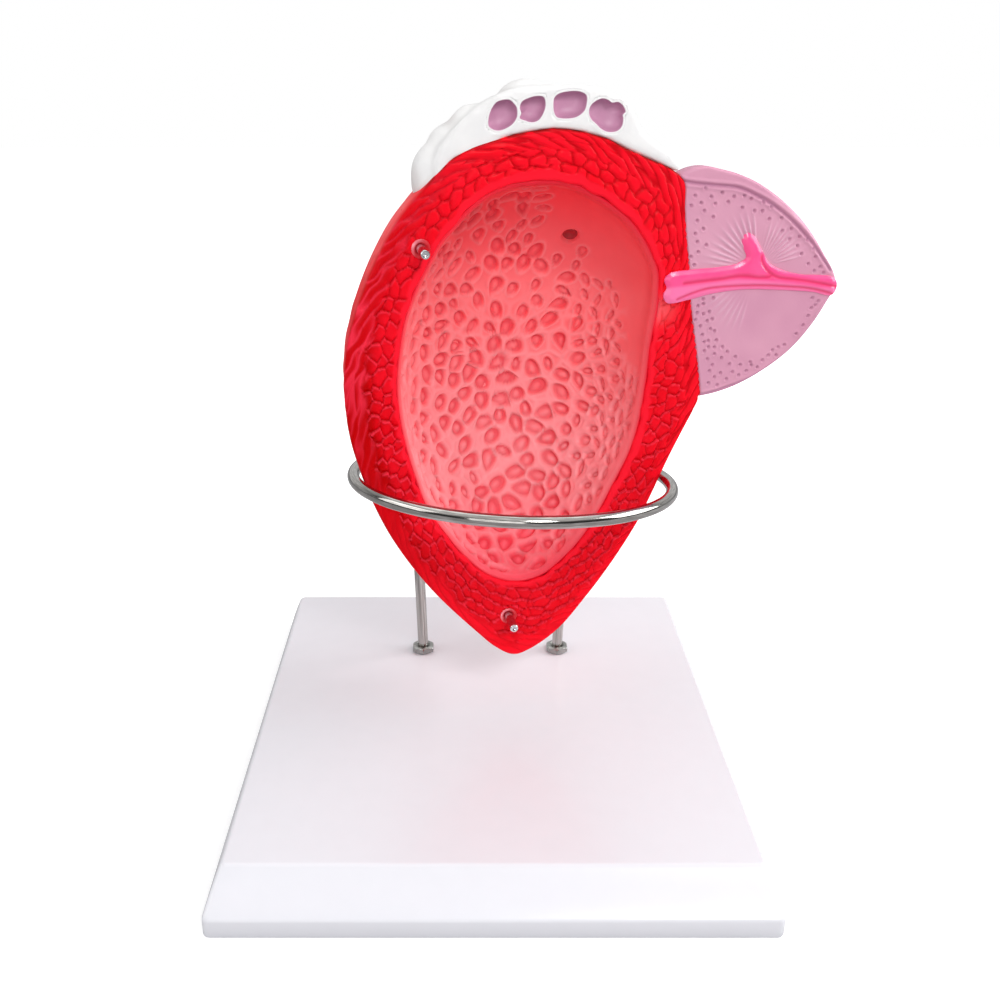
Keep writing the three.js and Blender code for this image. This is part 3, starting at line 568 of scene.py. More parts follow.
def orifice_mouth():
    """A small dished plug whose rim sits just under the lining."""
    x, z = ORIFICE_AT
    away = np.array([x, z]) - CAVITY_POLE
    reach = np.linalg.norm(away)
    edge = at_angles(CAVITY_OUTLINE, CAVITY_POLE, np.array([atan2(away[1], away[0])]))[0]
    share = reach / (np.linalg.norm(edge - CAVITY_POLE) - LINING_INSET)
    depth = LINING_DEPTH * (1 - share ** CAVITY_SQUARENESS) ** (1 / CAVITY_SQUARENESS)
    inward = Vector((-0.9 * away[0] / reach, -1, -0.9 * away[1] / reach))
    profile = (
        (0, -1.9), (2.9, -1.9), (3.1, -1.2), (2.9, -0.75), (2.3, -0.95), (1.7, -1.25), (1.1, -1.45), (0.5, -1.55),
        (0, -1.58))
    place = ORGAN @ Matrix.Translation((x, depth, z)) @ inward.to_track_quat("Z", "Y").to_matrix().to_4x4()
    return set_down(lathe(profile, 48), "ureter_orifice_mouth", place)


# Half organ: prostate

GROOVE_UPPER = [
    (60, 119), (63, 118.6), (69.5, 117.7), (77.6, 116.9), (85, 116), (92.2, 113.2), (98.8, 109.9),
    (105.7, 105.4), (112.8, 99.5), (119.2, 93.4), (124, 87.8), (127.7, 83.3),
]
GROOVE_LOWER = [
    (76, 33.4), (79.1, 33.8), (86.8, 35.6), (99.4, 40.1), (107.6, 44.8), (115.5, 51.2), (121.5, 58.1),
    (126.4, 66.6), (129.6, 71.5),
]
DIMPLES = [
    (67.5, 113.4), (74, 112.9), (78.3, 114.3), (83.3, 112.7), (87.4, 113), (90.4, 111.8), (95.5, 110.5),
    (75.9, 110.2), (87.1, 108.5), (92.2, 107.2), (95.5, 107.1), (99, 108.6), (75.6, 105.3), (71.7, 107.7),
    (98.8, 104), (103.8, 104.3), (69.3, 104), (108.5, 100), (104.9, 99.3), (72.1, 100.9), (69, 99.1),
    (70.1, 96), (112.4, 96.8), (115.9, 95.5), (70.9, 92.1), (108.3, 96.1), (114.2, 90.1), (120.4, 88.7),
    (69.8, 87.1), (117.8, 86), (123.2, 84.6), (124.8, 82.2), (120.8, 83.1), (68.2, 90.3), (73.9, 94.7),
    (119, 91.9), (112, 93.3), (66.3, 109.7), (70.2, 110.7), (81.1, 110.8), (71.2, 116.2), (73.1, 70.8),
    (74.9, 73.5), (75.2, 71.5), (79.1, 73.8), (78, 68.2), (75.6, 67.5), (73, 68), (79.6, 65.3), (77.6, 64.5),
    (79.2, 61.2), (81, 60.3), (78.9, 56.3), (82.3, 56.5), (79.2, 53.8), (81.7, 53.6), (85.2, 53.5),
    (87.6, 51.3), (82.1, 50.7), (85.3, 48.9), (91.3, 49), (81.7, 46.1), (89.1, 46.1), (93.9, 45.5),
    (98.7, 45.2), (101.5, 44.2), (85.6, 42.5), (90.8, 42.7), (96.9, 42.8), (93.6, 41.2), (83.1, 40.9),
    (88.5, 39.8), (80.8, 38.5), (84.8, 37.4), (121.6, 72.2), (124.4, 70.8), (121.8, 68.1), (123.4, 69.2),
    (121, 64.8), (119.3, 61.1), (116.8, 57.5), (112.2, 53.1), (109.6, 52.3), (107.2, 51.2), (105.7, 49.1),
    (109.2, 49), (103.3, 47.1), (98.1, 46.5), (72.5, 65.2), (74.8, 62.6), (76.1, 58.9), (77.2, 55.9),
    (77.6, 52.2), (79.3, 48.7), (80.7, 43.6),
]
# The rays fan out from the urethra's branch, this many degrees apart
RAY_CENTRE, RAY_STEP = (96.4, 85), 7.2


def prostate_relief(flat):
    """Height of the prostate's cut face: grooves along its rim, dimples, and rays round the branch."""
    upper = polyline_distance(flat, through_points(GROOVE_UPPER, 4, loop=False))
    lower = polyline_distance(flat, through_points(GROOVE_LOWER, 4, loop=False))
    dimple = nearest(in_face(flat, 0), in_face(np.array(DIMPLES), 0), 1)[0][:, 0]
    height = -0.75 * bell(upper, 0, 0.5) + 0.35 * bell(upper, 1.25, 0.6)
    height += -0.7 * bell(lower, 0, 0.42) + 0.35 * bell(lower, 1.0, 0.45)
    height += -0.8 * (1 - smoothstep(0.25, 0.8, dimple)) + 0.14 * bell(dimple, 1.1, 0.35)
    away = flat - RAY_CENTRE
    reach = np.hypot(away[:, 0], away[:, 1])
    bearing = np.degrees(np.arctan2(away[:, 1], away[:, 0]))
    ray = (0.5 + 0.5 * np.cos(radians(360 / RAY_STEP) * bearing + 0.5 * np.sin(bearing / 9))) ** 2
    left_fan = smoothstep(96, 104, bearing) * smoothstep(176, 170, bearing) * bell(reach, 15, 5.6)
    right_fan = smoothstep(8, 14, bearing) * smoothstep(88, 76, bearing) * bell(reach, 13, 4.6) * 0.8
    low_fan = smoothstep(-150, -140, bearing) * smoothstep(-96, -104, bearing) * bell(reach, 19, 4.6) * 0.55
    ray *= left_fan + right_fan + low_fan
    # Painted shade in the rim grooves and the dimples.
    groove_shade = bell(upper, 0, 0.7) + bell(lower, 0, 0.6) + bell(dimple, 0, 0.6)
    return height + 0.6 * ray, np.clip(groove_shade, 0, 1), np.clip(ray, 0, 1)


def prostate():
    columns, face_rings, dome_rings = 700, 118, 22
    edge_round = 1.2
    angles = np.linspace(-pi, pi, columns + 1)
    edge = at_angles(PROSTATE_OUTLINE, PROSTATE_POLE, angles)
    reach = np.linalg.norm(edge - PROSTATE_POLE, axis=1)
    wall = through_points(WALL_OUTLINE, 6)
    rows, grooves, rays = [], [], []
    for share in np.linspace(0, 1, face_rings):
        flat = PROSTATE_POLE + (edge - PROSTATE_POLE) * share
        from_edge = reach * (1 - share)
        height, groove_shade, ray = prostate_relief(flat)
        height = (height + 0.1 * ripple(flat, 14, 41)) * smoothstep(0.3, 1.6, from_edge)
        in_wall = inside_outline(flat, wall) * smoothstep(0, 0.8, polyline_distance(flat, closed(wall)))
        rows.append(in_face(flat, rounded_edge(from_edge, edge_round) + 2.4 * in_wall - height))
        grooves.append(groove_shade)
        rays.append(ray)
    rows[0][:] = rows[0].mean(0)
    turns = dome_turns(asin((edge_round / PROSTATE_DEPTH) ** (PROSTATE_SQUARENESS / 2)), dome_rings)
    dome = dome_rows(edge, PROSTATE_POLE, PROSTATE_DEPTH, PROSTATE_SQUARENESS, turns)
    normals = sheet_normals([rows[-1], *dome])[1:]
    spots = dome.reshape(-1, 3)
    swell = 0.35 * ripple(spots, 22, 42) * smoothstep(1, 6, spots[:, 1])
    rows.extend(swollen(dome, normals, swell))
    rows = held_outside_wall(np.reshape(rows, (-1, 3)), 0.95).reshape(len(rows), columns + 1, 3)
    still = [np.zeros(columns + 1)] * len(dome)
    return wrapped_sheet("prostate_cast", rows, ORGAN, {"groove_shade": [*grooves, *still], "ray": [*rays, *still]})


# Half organ: urethra strip

# Each groove's line, how far it sinks and its half width
STRIP_GROOVES = [
    ([
        (66, 80.3), (68.4, 80.5), (75.4, 81.1), (81.6, 81.6), (87.8, 82.4), (92, 82.3), (97.1, 81.5),
        (101.8, 81.7),
    ], 0.55, 0.75),
    ([
        (97.2, 90), (97.6, 87.8), (99.6, 85), (102.5, 82.5), (105.7, 81.2), (111.3, 80.4), (117.9, 79.4),
        (124.6, 78.1), (130.9, 76.7),
    ], 0.75, 0.7),
    ([
        (63.7, 74), (69.7, 76.3), (75.7, 77.9), (82.8, 78.4), (92.4, 78.5), (101, 78.2), (109.6, 77.5),
        (118.3, 76.6), (126, 74.9), (130.6, 73.5),
    ], 0.65, 0.55),
]
# Below this line the strip's lower lobe is painted paler
LOBE_LINE = [(58, 79), (66, 79.6), (76, 80.6), (88, 81.6), (97, 81.0), (110, 79.4), (131, 76.2)]


def urethra_strip():
    """A strip with rounded sides, raised on the cut face, from a fine grid trimmed to its outline."""
    step, margin, crown_width, smoothings, skirt_depth = 0.42, 0.6, 2.6, 3, 1.7
    outline = through_points(STRIP_OUTLINE, 14)
    low, high = outline.min(0) - margin, outline.max(0) + margin
    bm = bmesh.new()
    groove_shade_layer = bm.verts.layers.float.new("groove_shade")
    lobe_layer = bm.verts.layers.float.new("lobe")
    x_count, z_count = ((high - low) / step).astype(int)
    bmesh.ops.create_grid(bm, x_segments=int(x_count), y_segments=int(z_count), size=0.5)
    verts = list(bm.verts)
    flat = np.array([(v.co.x + 0.5, v.co.y + 0.5) for v in verts]) * (high - low) + low
    keep = inside_outline(flat, outline) | (polyline_distance(flat, closed(outline)) < 0.3)
    spots = dict(zip(verts, flat))
    bmesh.ops.delete(bm, geom=[v for v, kept in zip(verts, keep) if not kept], context="VERTS")
    bmesh.ops.delete(bm, geom=[v for v in bm.verts if not v.link_faces], context="VERTS")
    verts = list(bm.verts)
    flat = np.array([spots[v] for v in verts])
    rim = np.array([v.is_boundary for v in verts])
    for i in np.flatnonzero(rim):
        flat[i] = outline[np.argmin(np.linalg.norm(outline - flat[i], axis=1))]
    from_rim = polyline_distance(flat, closed(outline))
    from_rim[rim] = 0
    height = 0.4 + 1.05 * np.sin(pi / 2 * np.minimum(from_rim / crown_width, 1))
    # Painted shade along the strip's grooves.
    groove_shade = np.zeros(len(flat))
    for knots, sunk, half_width in STRIP_GROOVES:
        cut = bell(polyline_distance(flat, through_points(knots, 5, loop=False)), 0, half_width)
        height -= sunk * cut * smoothstep(0.2, 1.2, from_rim)
        groove_shade = np.maximum(groove_shade, cut)
    lower_lobe = smoothstep(0.5, -1.2, flat[:, 1] - np.interp(flat[:, 0], *np.transpose(LOBE_LINE)))
    for vert, spot, cut, lobe in zip(verts, placed(in_face(flat, -height), ORGAN), groove_shade, lower_lobe):
        vert.co = spot
        vert[groove_shade_layer] = cut
        vert[lobe_layer] = lobe
    within = [v for v in bm.verts if not v.is_boundary]
    for _ in range(smoothings):
        bmesh.ops.smooth_vert(bm, verts=within, factor=0.5, use_axis_x=True, use_axis_y=True, use_axis_z=True)
    bmesh.ops.remove_doubles(bm, verts=bm.verts, dist=1e-7)
    bmesh.ops.dissolve_degenerate(bm, edges=bm.edges, dist=1e-8)
    bmesh.ops.recalc_face_normals(bm, faces=bm.faces)
    front = ORGAN.to_3x3() @ Vector((0, -1, 0))
    if sum((face.normal for face in bm.faces), Vector()).dot(front) < 0:
        bmesh.ops.reverse_faces(bm, faces=bm.faces)
    skirt = bmesh.ops.extrude_edge_only(bm, edges=[e for e in bm.edges if e.is_boundary])["geom"]
    skirt = [g for g in skirt if isinstance(g, bmesh.types.BMVert)]
    bmesh.ops.translate(bm, vec=front * (-skirt_depth * MM), verts=skirt)
    bmesh.ops.holes_fill(bm, edges=[e for e in bm.edges if e.is_boundary], sides=0)
    return finish_piece(bm, "urethra_strip_cast", 50)


# Half organ: seminal vesicle and its cut tubes

# Middles and radii of the lobes that carry the left end out in one slope
VESICLE_END_LOBES = [
    ((-14.4, 10.5, 133.9), (13.6, 9.9, 12.2)),
    ((-19, 12.5, 131), (14, 11.9, 10.2)),
    ((-27.5, 11.6, 121), (12, 11, 12.5)),
]


def seminal_vesicle():
    """The part's own solid with three more lobes, melted into one skin, with a well for each tube."""
    voxel, relaxings = 0.8, 30
    bm = bmesh.new()
    bm.from_mesh(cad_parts["seminal_vesicle"].data)
    bmesh.ops.remove_doubles(bm, verts=bm.verts, dist=1e-6)
    for middle, radii in VESICLE_END_LOBES:
        lobe = ORGAN @ Matrix.Translation(middle) @ Matrix.Diagonal((*radii, 1))
        bmesh.ops.create_icosphere(bm, subdivisions=4, radius=1, matrix=Matrix.Scale(MM, 4) @ lobe)
    rough = finish_piece(bm, "vesicle_rough")
    remesh = rough.modifiers.new("even", "REMESH")
    remesh.mode = "VOXEL"
    remesh.voxel_size = voxel * MM
    relax = rough.modifiers.new("relax", "SMOOTH")
    relax.iterations = relaxings
    relax.factor = 0.5
    evaluated = rough.evaluated_get(bpy.context.evaluated_depsgraph_get())
    bm = bmesh.new()
    bm.from_mesh(evaluated.to_mesh())
    evaluated.to_mesh_clear()
    bpy.data.objects.remove(rough)
    inverse = np.array(ORGAN.inverted())
    spots = np.array([v.co for v in bm.verts]) / MM @ inverse[:3, :3].T + inverse[:3, 3]
    flat = spots[:, [0, 2]]
    for outline in LUMEN_OUTLINES:
        curve = through_points(outline, 8)
        away = polyline_distance(flat, closed(curve))
        within = inside_outline(flat, curve) | (away < 0.4)
        well = within & (spots[:, 1] < 7)
        spots[well, 1] = np.maximum(spots[well, 1], 5.8)
        collar = ~within & (spots[:, 1] < 2.5)
        spots[collar, 1] *= 1 - smoothstep(2.3, 1.3, away[collar])
    for vert, spot in zip(bm.verts, placed(spots, ORGAN)):
        vert.co = spot
    fold_shade_layer = bm.verts.layers.float.new("fold_shade")
    bm.normal_update()
    # Painted shade: the hollows of the folds, away from the cut face, are painted a faint warm grey.
    folds = np.sin(spots[:, 0] * 0.3 + 1.6 * ripple(spots, 34, 51)) + 0.4 * ripple(spots, 12, 52)
    outside = smoothstep(0.8, 4.0, spots[:, 1])
    for vert, rise, fold_shade in zip(bm.verts, 0.3 * folds * outside, smoothstep(-0.2, -1.3, folds) * outside):
        vert.co += vert.normal * (rise * MM)
        vert[fold_shade_layer] = fold_shade
    return finish_piece(bm, "seminal_vesicle_cast")


def vesicle_lumen(number, outline):
    """A cut tube: a thin rim just proud of the face, round a bowl."""
    columns, bowl_rings, bowl_depth, back_depth = 72, 12, 4.3, 5.2
    middle = np.mean(outline, axis=0)
    edge = at_angles(outline, middle, np.linspace(-pi, pi, columns + 1))
    reach = np.linalg.norm(edge - middle, axis=1)[:, None]

    def grown(by):
        return middle + (edge - middle) * (reach + by) / reach

    rows = [in_face(middle + 0 * edge, back_depth), in_face(middle + (grown(0.9) - middle) * 0.7, 4.6)]
    rim = (
        (0.9, 0.9), (1.25, 0.45), (1.1, 0.14), (0.75, -0.01), (0.45, -0.07), (0.2, -0.07), (0.05, 0.02), (-0.05, 0.25))
    rows += [in_face(grown(by), depth) for by, depth in rim]
    shade = [0.0] * (len(rows) - 2) + [0.6, 1.0] + [1.0] * bowl_rings
    for turn in np.linspace(0.1, pi / 2, bowl_rings):
        rows.append(in_face(middle + (edge - middle) * cos(turn) ** 0.8 * 0.98, bowl_depth * sin(turn) ** 0.85))
    rows[-1][:] = rows[-1].mean(0)
    rows = np.array(rows)
    # The paint keyed to height in the bowl is painted shade, darkest under the upper rim.
    paint = {"inside": np.repeat(shade, columns + 1), "upper_rim_shade": (rows[:, :, 2] - middle[1]) / 6}
    return wrapped_sheet(f"vesicle_lumen_{number}_bowl", rows, ORGAN, paint)


# Half organ: pins and sleeves

def square_to_face(at):
    """Place of a turned piece whose axis runs back from a point of the cut face."""
    return ORGAN @ Matrix.Translation((at[0], 0, at[1])) @ Matrix.Rotation(-pi / 2, 4, "X")


def locating_pin(level, at):
    """A plain dowel with a rounded tip and a centre mark left by the lathe."""
    profile = (
        (0, 11), (1.8, 11), (1.8, -10.3), (1.72, -10.7), (1.5, -10.95), (1.15, -11), (0.85, -10.95), (0.55, -10.6),
        (0, -10.45))
    return set_down(lathe(profile, 48), f"locating_pin_{level}_turned", square_to_face(at), 40)


def pin_sleeve(level, at):
    """A countersunk sleeve; its rim shows a pale painted highlight on the upper left."""
    profile = (
        (1.9, 11.2), (3.7, 11.2), (3.7, 0.3), (3.55, 0.0), (3.2, -0.05), (2.8, 0.2), (2.0, 0.75), (1.84, 1.0),
        (1.84, 11.2), (1.9, 11.2))
    bm = lathe(profile, 48)
    lit_layer = bm.verts.layers.float.new("lit")
    for vert in bm.verts:
        bearing, radius = degrees(atan2(-vert.co.y, vert.co.x)), hypot(vert.co.x, vert.co.y)
        # A painted highlight: the pale pink shows only on the upper left of the rim, with red paint everywhere else.
        vert[lit_layer] = bearing_bell(bearing, 140, 62) * smoothstep(1.9, 2.6, radius)
    return set_down(bm, f"pin_sleeve_{level}_turned", square_to_face(at), 50)


# Stand

def support_ring():
    """The bent rod: up one leg, round the front, down the other."""
    radius, bend_run, below_top = 65.53, 9.0, 11.6
    side_fall, back_fall = radians(2.3), radians(6.3)
    centre = np.array([9.4, -6, 132.4])
    right = np.array([cos(side_fall), 0, -sin(side_fall)])
    back = np.array([0, cos(back_fall), -sin(back_fall)])
    feet = {side: np.array([x, FOOT_Y, BASE_TOP]) for side, x in FEET.items()}
    # How far the top of each leg stands outside its foot
    spread_left, spread_right = 3.9, 5.6
    turn_left = pi - np.arccos((centre[0] - FEET["left"] + spread_left) / radius)
    turn_right = np.arccos((FEET["right"] + spread_right - centre[0]) / radius) + 2 * pi
    first, last = turn_left + bend_run / radius, turn_right - bend_run / radius

    def ring(turn):
        return centre + right * radius * cos(turn) + back * radius * sin(turn)

    def leg(foot, top, ahead):
        """From below the plate, up to the bend, and over it to the ring."""
        start = top - (top - foot) / np.linalg.norm(top - foot) * bend_run
        bend = [(1 - t) ** 2 * start + 2 * t * (1 - t) * top + t * t * ahead for t in (0, 1 / 3, 2 / 3)]
        return [foot - (0, 0, below_top), foot, *bend]

    knots = leg(feet["left"], ring(turn_left), ring(first))
    knots += [ring(turn) for turn in np.linspace(first, last, 31)]
    knots += leg(feet["right"], ring(turn_right), ring(last))[::-1]
    path = through_points(knots, 9, loop=False)
    tangents = np.gradient(path, axis=0)
    tangents /= np.linalg.norm(tangents, axis=1, keepdims=True)
    angles = np.linspace(-pi, pi, 29)
    cut_end = ((0, 0), (1.8, 0), (2.3, 0.15), (ROD_RADIUS, 0.6))
    side = np.cross(tangents[0], [0, 1.0, 0])
    rows = []
    for k, (point, ahead) in enumerate(zip(path, tangents)):
        side = side - ahead * (side @ ahead)
        side /= np.linalg.norm(side)
        hoop = np.cos(angles)[:, None] * side + np.sin(angles)[:, None] * np.cross(ahead, side)
        if k == 0:
            rows += [point + hoop * r + ahead * depth for r, depth in cut_end]
        elif k == len(path) - 1:
            rows += [point + hoop * r - ahead * depth for r, depth in cut_end[::-1]]
        else:
            rows.append(point + hoop * ROD_RADIUS)
    # How far along the rod and round it each point lies, for the draw marks
    run = np.linspace(0, len(path) / 60, len(rows))[:, None] + np.zeros(len(angles))
    around = np.sin(angles / 2) * 2 + np.zeros((len(rows), 1))
    return wrapped_sheet("support_ring_rod", rows, STAND, {"run": run, "around": around})


def base_level(share, inset, z):
    """One rounded rectangle of the base; share 0 is its foot and 1 its top edge."""
    half_width, half_length, side_slope, front_slope = 100, 109.5, 4.7, 15
    half = half_width + side_slope * (1 - share) - inset
    front = -half_length - front_slope * (1 - share) + inset
    back = half_length + side_slope * (1 - share) - inset
    radius = max(2.6 - inset, 0.8)
    corners = ((half - radius, back - radius), (radius - half, back - radius),
               (radius - half, front + radius), (half - radius, front + radius))
    arcs = []
    for quarter, (x, y) in enumerate(corners):
        turns = (quarter + np.linspace(0, 1, 7)) * pi / 2
        arcs.append(np.column_stack([x + radius * np.cos(turns), y + radius * np.sin(turns), np.full(7, z)]))
    ring = []
    for arc, following in zip(arcs, arcs[1:] + arcs[:1]):
        side = [arc[-1] + (following[0] - arc[-1]) * t for t in (0.02, 0.25, 0.5, 0.75, 0.98)]
        ring += [*arc, *side]
    return closed(np.array(ring))


def base_shell():
    """The plate, its sloping sides with a foot rim, and the hollow below, in one skin."""
    ceiling, edge_round, slope_foot, slope_high = BASE_TOP - BASE_WALL, 1.3, 7.5, 12.5
    inside = base_level(1, BASE_WALL, ceiling)
    ceiling_middle = inside.mean(0)
    rows = [ceiling_middle + (inside - ceiling_middle) * s for s in (0, 0.35, 0.7, 0.97, 1)]
    levels = [
        (0.96, BASE_WALL + 0.1, ceiling - 0.7), (0.05, BASE_WALL, 7.9), (0, BASE_WALL, 7.2), (0, BASE_WALL, 0.7),
        (0, BASE_WALL - 0.25, 0.1), (0, BASE_WALL - 0.7, 0), (0, 0.7, 0), (0, 0.2, 0.15), (0, 0, 0.7), (0, 0, 6.7),
        (0.01, 0.02, 7.5), (0.06, 0, 8.35), (0.3, 0, slope_foot + slope_high * 0.3),
        (0.6, 0, slope_foot + slope_high * 0.6)]
    for turn in np.linspace(0, pi / 2, 7):
        below = 1 - sin(turn)
        levels.append((1 - 0.9 / slope_high * below, edge_round * (1 - cos(turn)), BASE_TOP - edge_round * below))
    levels.append((1, 2.0, BASE_TOP))
    rows += [base_level(*level) for level in levels]
    edge = base_level(1, edge_round, BASE_TOP)
    middle = edge.mean(0)
    rows += [middle + (edge - middle) * s for s in (0.9, 0.6, 0.3, 0)]
    return wrapped_sheet("base_shell_moulding", rows, STAND, smooth_angle=32)


def at_foot(x, z):
    """Place of a turned piece on one foot of the rod."""
    return STAND @ Matrix.Translation((x, FOOT_Y, z))


def boss_under_nut(side, x):
    """The thick round pad moulded under the plate round a foot of the rod."""
    profile = (
        (2.8, 3.5), (2.8, 0.3), (3.1, 0), (7.6, 0), (7.9, 0.15), (8.0, 0.5), (8.1, 1.4), (9.0, 2.2), (9.0, 3.5),
        (2.8, 3.5))
    return set_down(lathe(profile, 64), f"base_boss_{side}", at_foot(x, 15), 40)


def hex_nut(name, x, z, countersink):
    """A low nut, turned with cones at both faces and then milled flat on six sides."""
    flats, high, hole = 5.0, 3.0, 2.6
    profile = (
        (hole, 0.3), (hole + 0.3, 0), (flats - 0.3, 0), (flats + 0.02, 0.12), (flats + 0.75, 0.5),
        (flats + 0.8, high - 0.75), (flats + 0.35, high - 0.35), (flats - 0.1, high - 0.12), (flats - 0.45, high),
        (hole + countersink, high), (hole + 0.12, high - countersink), (hole, high - countersink - 0.1), (hole, 0.3))
    bm = lathe(profile, 96)
    for vert in bm.verts:
        from_flat = (atan2(vert.co.y, vert.co.x) + pi / 6) % (pi / 3) - pi / 6
        milled = min(1, flats / cos(from_flat) / hypot(vert.co.x, vert.co.y))
        vert.co.x, vert.co.y = vert.co.x * milled, vert.co.y * milled
    return set_down(bm, name, at_foot(x, z), 28)


def washer(name, x, z):
    profile = (
        (2.8, 0.15), (2.95, 0), (6.3, 0), (6.5, 0.2), (6.5, 0.8), (6.3, 1.0), (2.95, 1.0), (2.8, 0.85), (2.8, 0.15))
    return set_down(lathe(profile, 64), name, at_foot(x, z), 40)


# Finishes

def linear(code):
    """sRGB hex to linear red, green, blue and alpha."""
    parts = [int(code[i:i + 2], 16) / 255 for i in (0, 2, 4)]
    return (*[c / 12.92 if c <= 0.04045 else ((c + 0.055) / 1.055) ** 2.4 for c in parts], 1)


def add_node(tree, kind, inputs=None, **settings):
    """One node, with its settings, and its inputs linked or set."""
    made = tree.nodes.new(kind)
    for key, value in settings.items():
        setattr(made, key, value)
    for key, value in (inputs or {}).items():
        if isinstance(value, bpy.types.NodeSocket):
            tree.links.new(value, made.inputs[key])
        else:
            made.inputs[key].default_value = value
    return made


def new_finish(name, constants):
    """A material whose constants stand on its shader, and where its patterns are laid out."""
    finish = bpy.data.materials.new(name)
    finish.use_nodes = True
    tree = finish.node_tree
    for key, value in constants.items():
        tree.nodes["Principled BSDF"].inputs[key].default_value = value
    return finish, tree, add_node(tree, "ShaderNodeTexCoord").outputs["Object"]


def clouded(tree, place, size_mm, detail, shades, share=(0, 1)):
    """Two close shades in soft blotches of about the given size."""
    cloud = add_node(tree, "ShaderNodeTexNoise", {"Vector": place, "Scale": 1 / (size_mm * MM), "Detail": detail})
    amount = add_node(tree, "ShaderNodeMapRange", {
        "Value": cloud.outputs["Fac"], "From Min": share[0], "From Max": share[1]}).outputs["Result"]
    first, second = map(linear, shades)
    return add_node(tree, "ShaderNodeMix", {0: amount, 6: first, 7: second}, data_type="RGBA").outputs[2]


def coat(tree, colour, *coats):
    """The shader's colour: coats of paint, each as strong as its attribute, from low to high, says."""
    for key, low, high, most, code in coats:
        amount = add_node(tree, "ShaderNodeAttribute", attribute_name=key).outputs["Fac"]
        amount = add_node(tree, "ShaderNodeMapRange", {
            "Value": amount, "From Min": low, "From Max": high, "To Max": most}).outputs["Result"]
        colour = add_node(
            tree, "ShaderNodeMix", {0: amount, 6: colour, 7: linear(code)}, data_type="RGBA").outputs[2]
    tree.links.new(colour, tree.nodes["Principled BSDF"].inputs["Base Color"])


def uneven_gloss(tree, place, size_mm, roughness, detail=3, share=(0.2, 0.8)):
    """Roughness that wanders between two values, in patches of about the given size."""
    patches = add_node(tree, "ShaderNodeTexNoise", {"Vector": place, "Scale": 1 / (size_mm * MM), "Detail": detail})
    amount = add_node(tree, "ShaderNodeMapRange", {
        "Value": patches.outputs["Fac"], "From Min": share[0], "From Max": share[1],
        "To Min": roughness[0], "To Max": roughness[1]}).outputs["Result"]
    tree.links.new(amount, tree.nodes["Principled BSDF"].inputs["Roughness"])


def bumpy(tree, place, size_mm, height_mm, strength=1.0, detail=3, rough=0.5):
    """A fine relief, with bumps of about the given size and height."""
    bumps = add_node(tree, "ShaderNodeTexNoise", {
        "Vector": place, "Scale": 1 / (size_mm * MM), "Detail": detail, "Roughness": rough}).outputs["Fac"]
    bump = add_node(tree, "ShaderNodeBump", {"Height": bumps, "Distance": height_mm * MM, "Strength": strength})
    tree.links.new(bump.outputs["Normal"], tree.nodes["Principled BSDF"].inputs["Normal"])


def painted_muscle():
    """Cast PVC, brushed with satin red enamel, with painted shade in the grooves, below the plates and over the outer
    band on the left, and painted highlights on the upper edges of the crests.
    """
    finish, tree, place = new_finish("painted_muscle", {"Specular IOR Level": 0.05})
    coat(
        tree, clouded(tree, place, 22, 3, ("F40A1E", "FF142A"), (0.3, 0.7)),
        ("shade_and_deep_red", 0, 1, 1, "C00004"), ("lip", 0, 1, 0.6, "FF2036"), ("groove_shade", 0, 1, 0.7, "B80008"),
        ("crest_highlight", 0, 1, 0.8, "FF3650"), ("spout", 0, 1, 1, "FF5E66"), ("seam", 0, 1, 0.6, "6A1810"))
    uneven_gloss(tree, place, 5, (0.26, 0.38))
    bumpy(tree, place, 1.6, 0.1, 0.4, detail=4, rough=0.6)
    return finish


def painted_mucosa():
    """Cast PVC in satin salmon enamel, painted paler lower down and darker towards the top as painted light and shade,
    with painted shade in the pits and painted highlights on the ridges.
    """
    finish, tree, place = new_finish("painted_mucosa", {"Specular IOR Level": 0.25})
    # By height: painted paler lower down, where light falls in, a deeper salmon again at the very bottom, and painted
    # shade towards the top under the overhang; the pits get painted shade and the ridges painted highlights.
    coat(
        tree, clouded(tree, place, 30, 2, ("FE7076", "FF7C81"), (0.3, 0.7)),
        ("high", 55, 0, 1, "FF9AA0"), ("high", -12, -40, 1, "FF6C7C"), ("high", 70, 122, 1, "FF2C3C"),
        ("pit_shade", 0.4, 1.8, 0.7, "E4243A"), ("ridge", 0, 1, 0.4, "FFAEB2"), ("lip", 0, 1, 1, "E81430"))
    uneven_gloss(tree, place, 6, (0.34, 0.5))
    bumpy(tree, place, 1.4, 0.08, 0.4, rough=0.6)
    return finish


def painted_orifice():
    """Dark red enamel dabbed into the mouth of the ureter, uneven and half matt."""
    finish, tree, place = new_finish("painted_orifice", {"Roughness": 0.5})
    coat(tree, clouded(tree, place, 1.5, 3, ("8E0E18", "C01E2A")))
    bumpy(tree, place, 0.8, 0.15)
    return finish


def painted_prostate():
    """Cast PVC in satin mauve enamel, with painted shade in the dimples and rim grooves; the fine rays are wiped pale.
    """
    finish, tree, place = new_finish("painted_prostate", {"Specular IOR Level": 0.3})
    coat(
        tree, clouded(tree, place, 26, 2, ("CF90AA", "DA9DB4"), (0.3, 0.7)),
        ("groove_shade", 0, 1, 0.5, "A0688A"), ("ray", 0, 1, 0.5, "E6C2D4"))
    uneven_gloss(tree, place, 4, (0.36, 0.52))
    bumpy(tree, place, 1.5, 0.08, 0.4, detail=4, rough=0.6)
    return finish


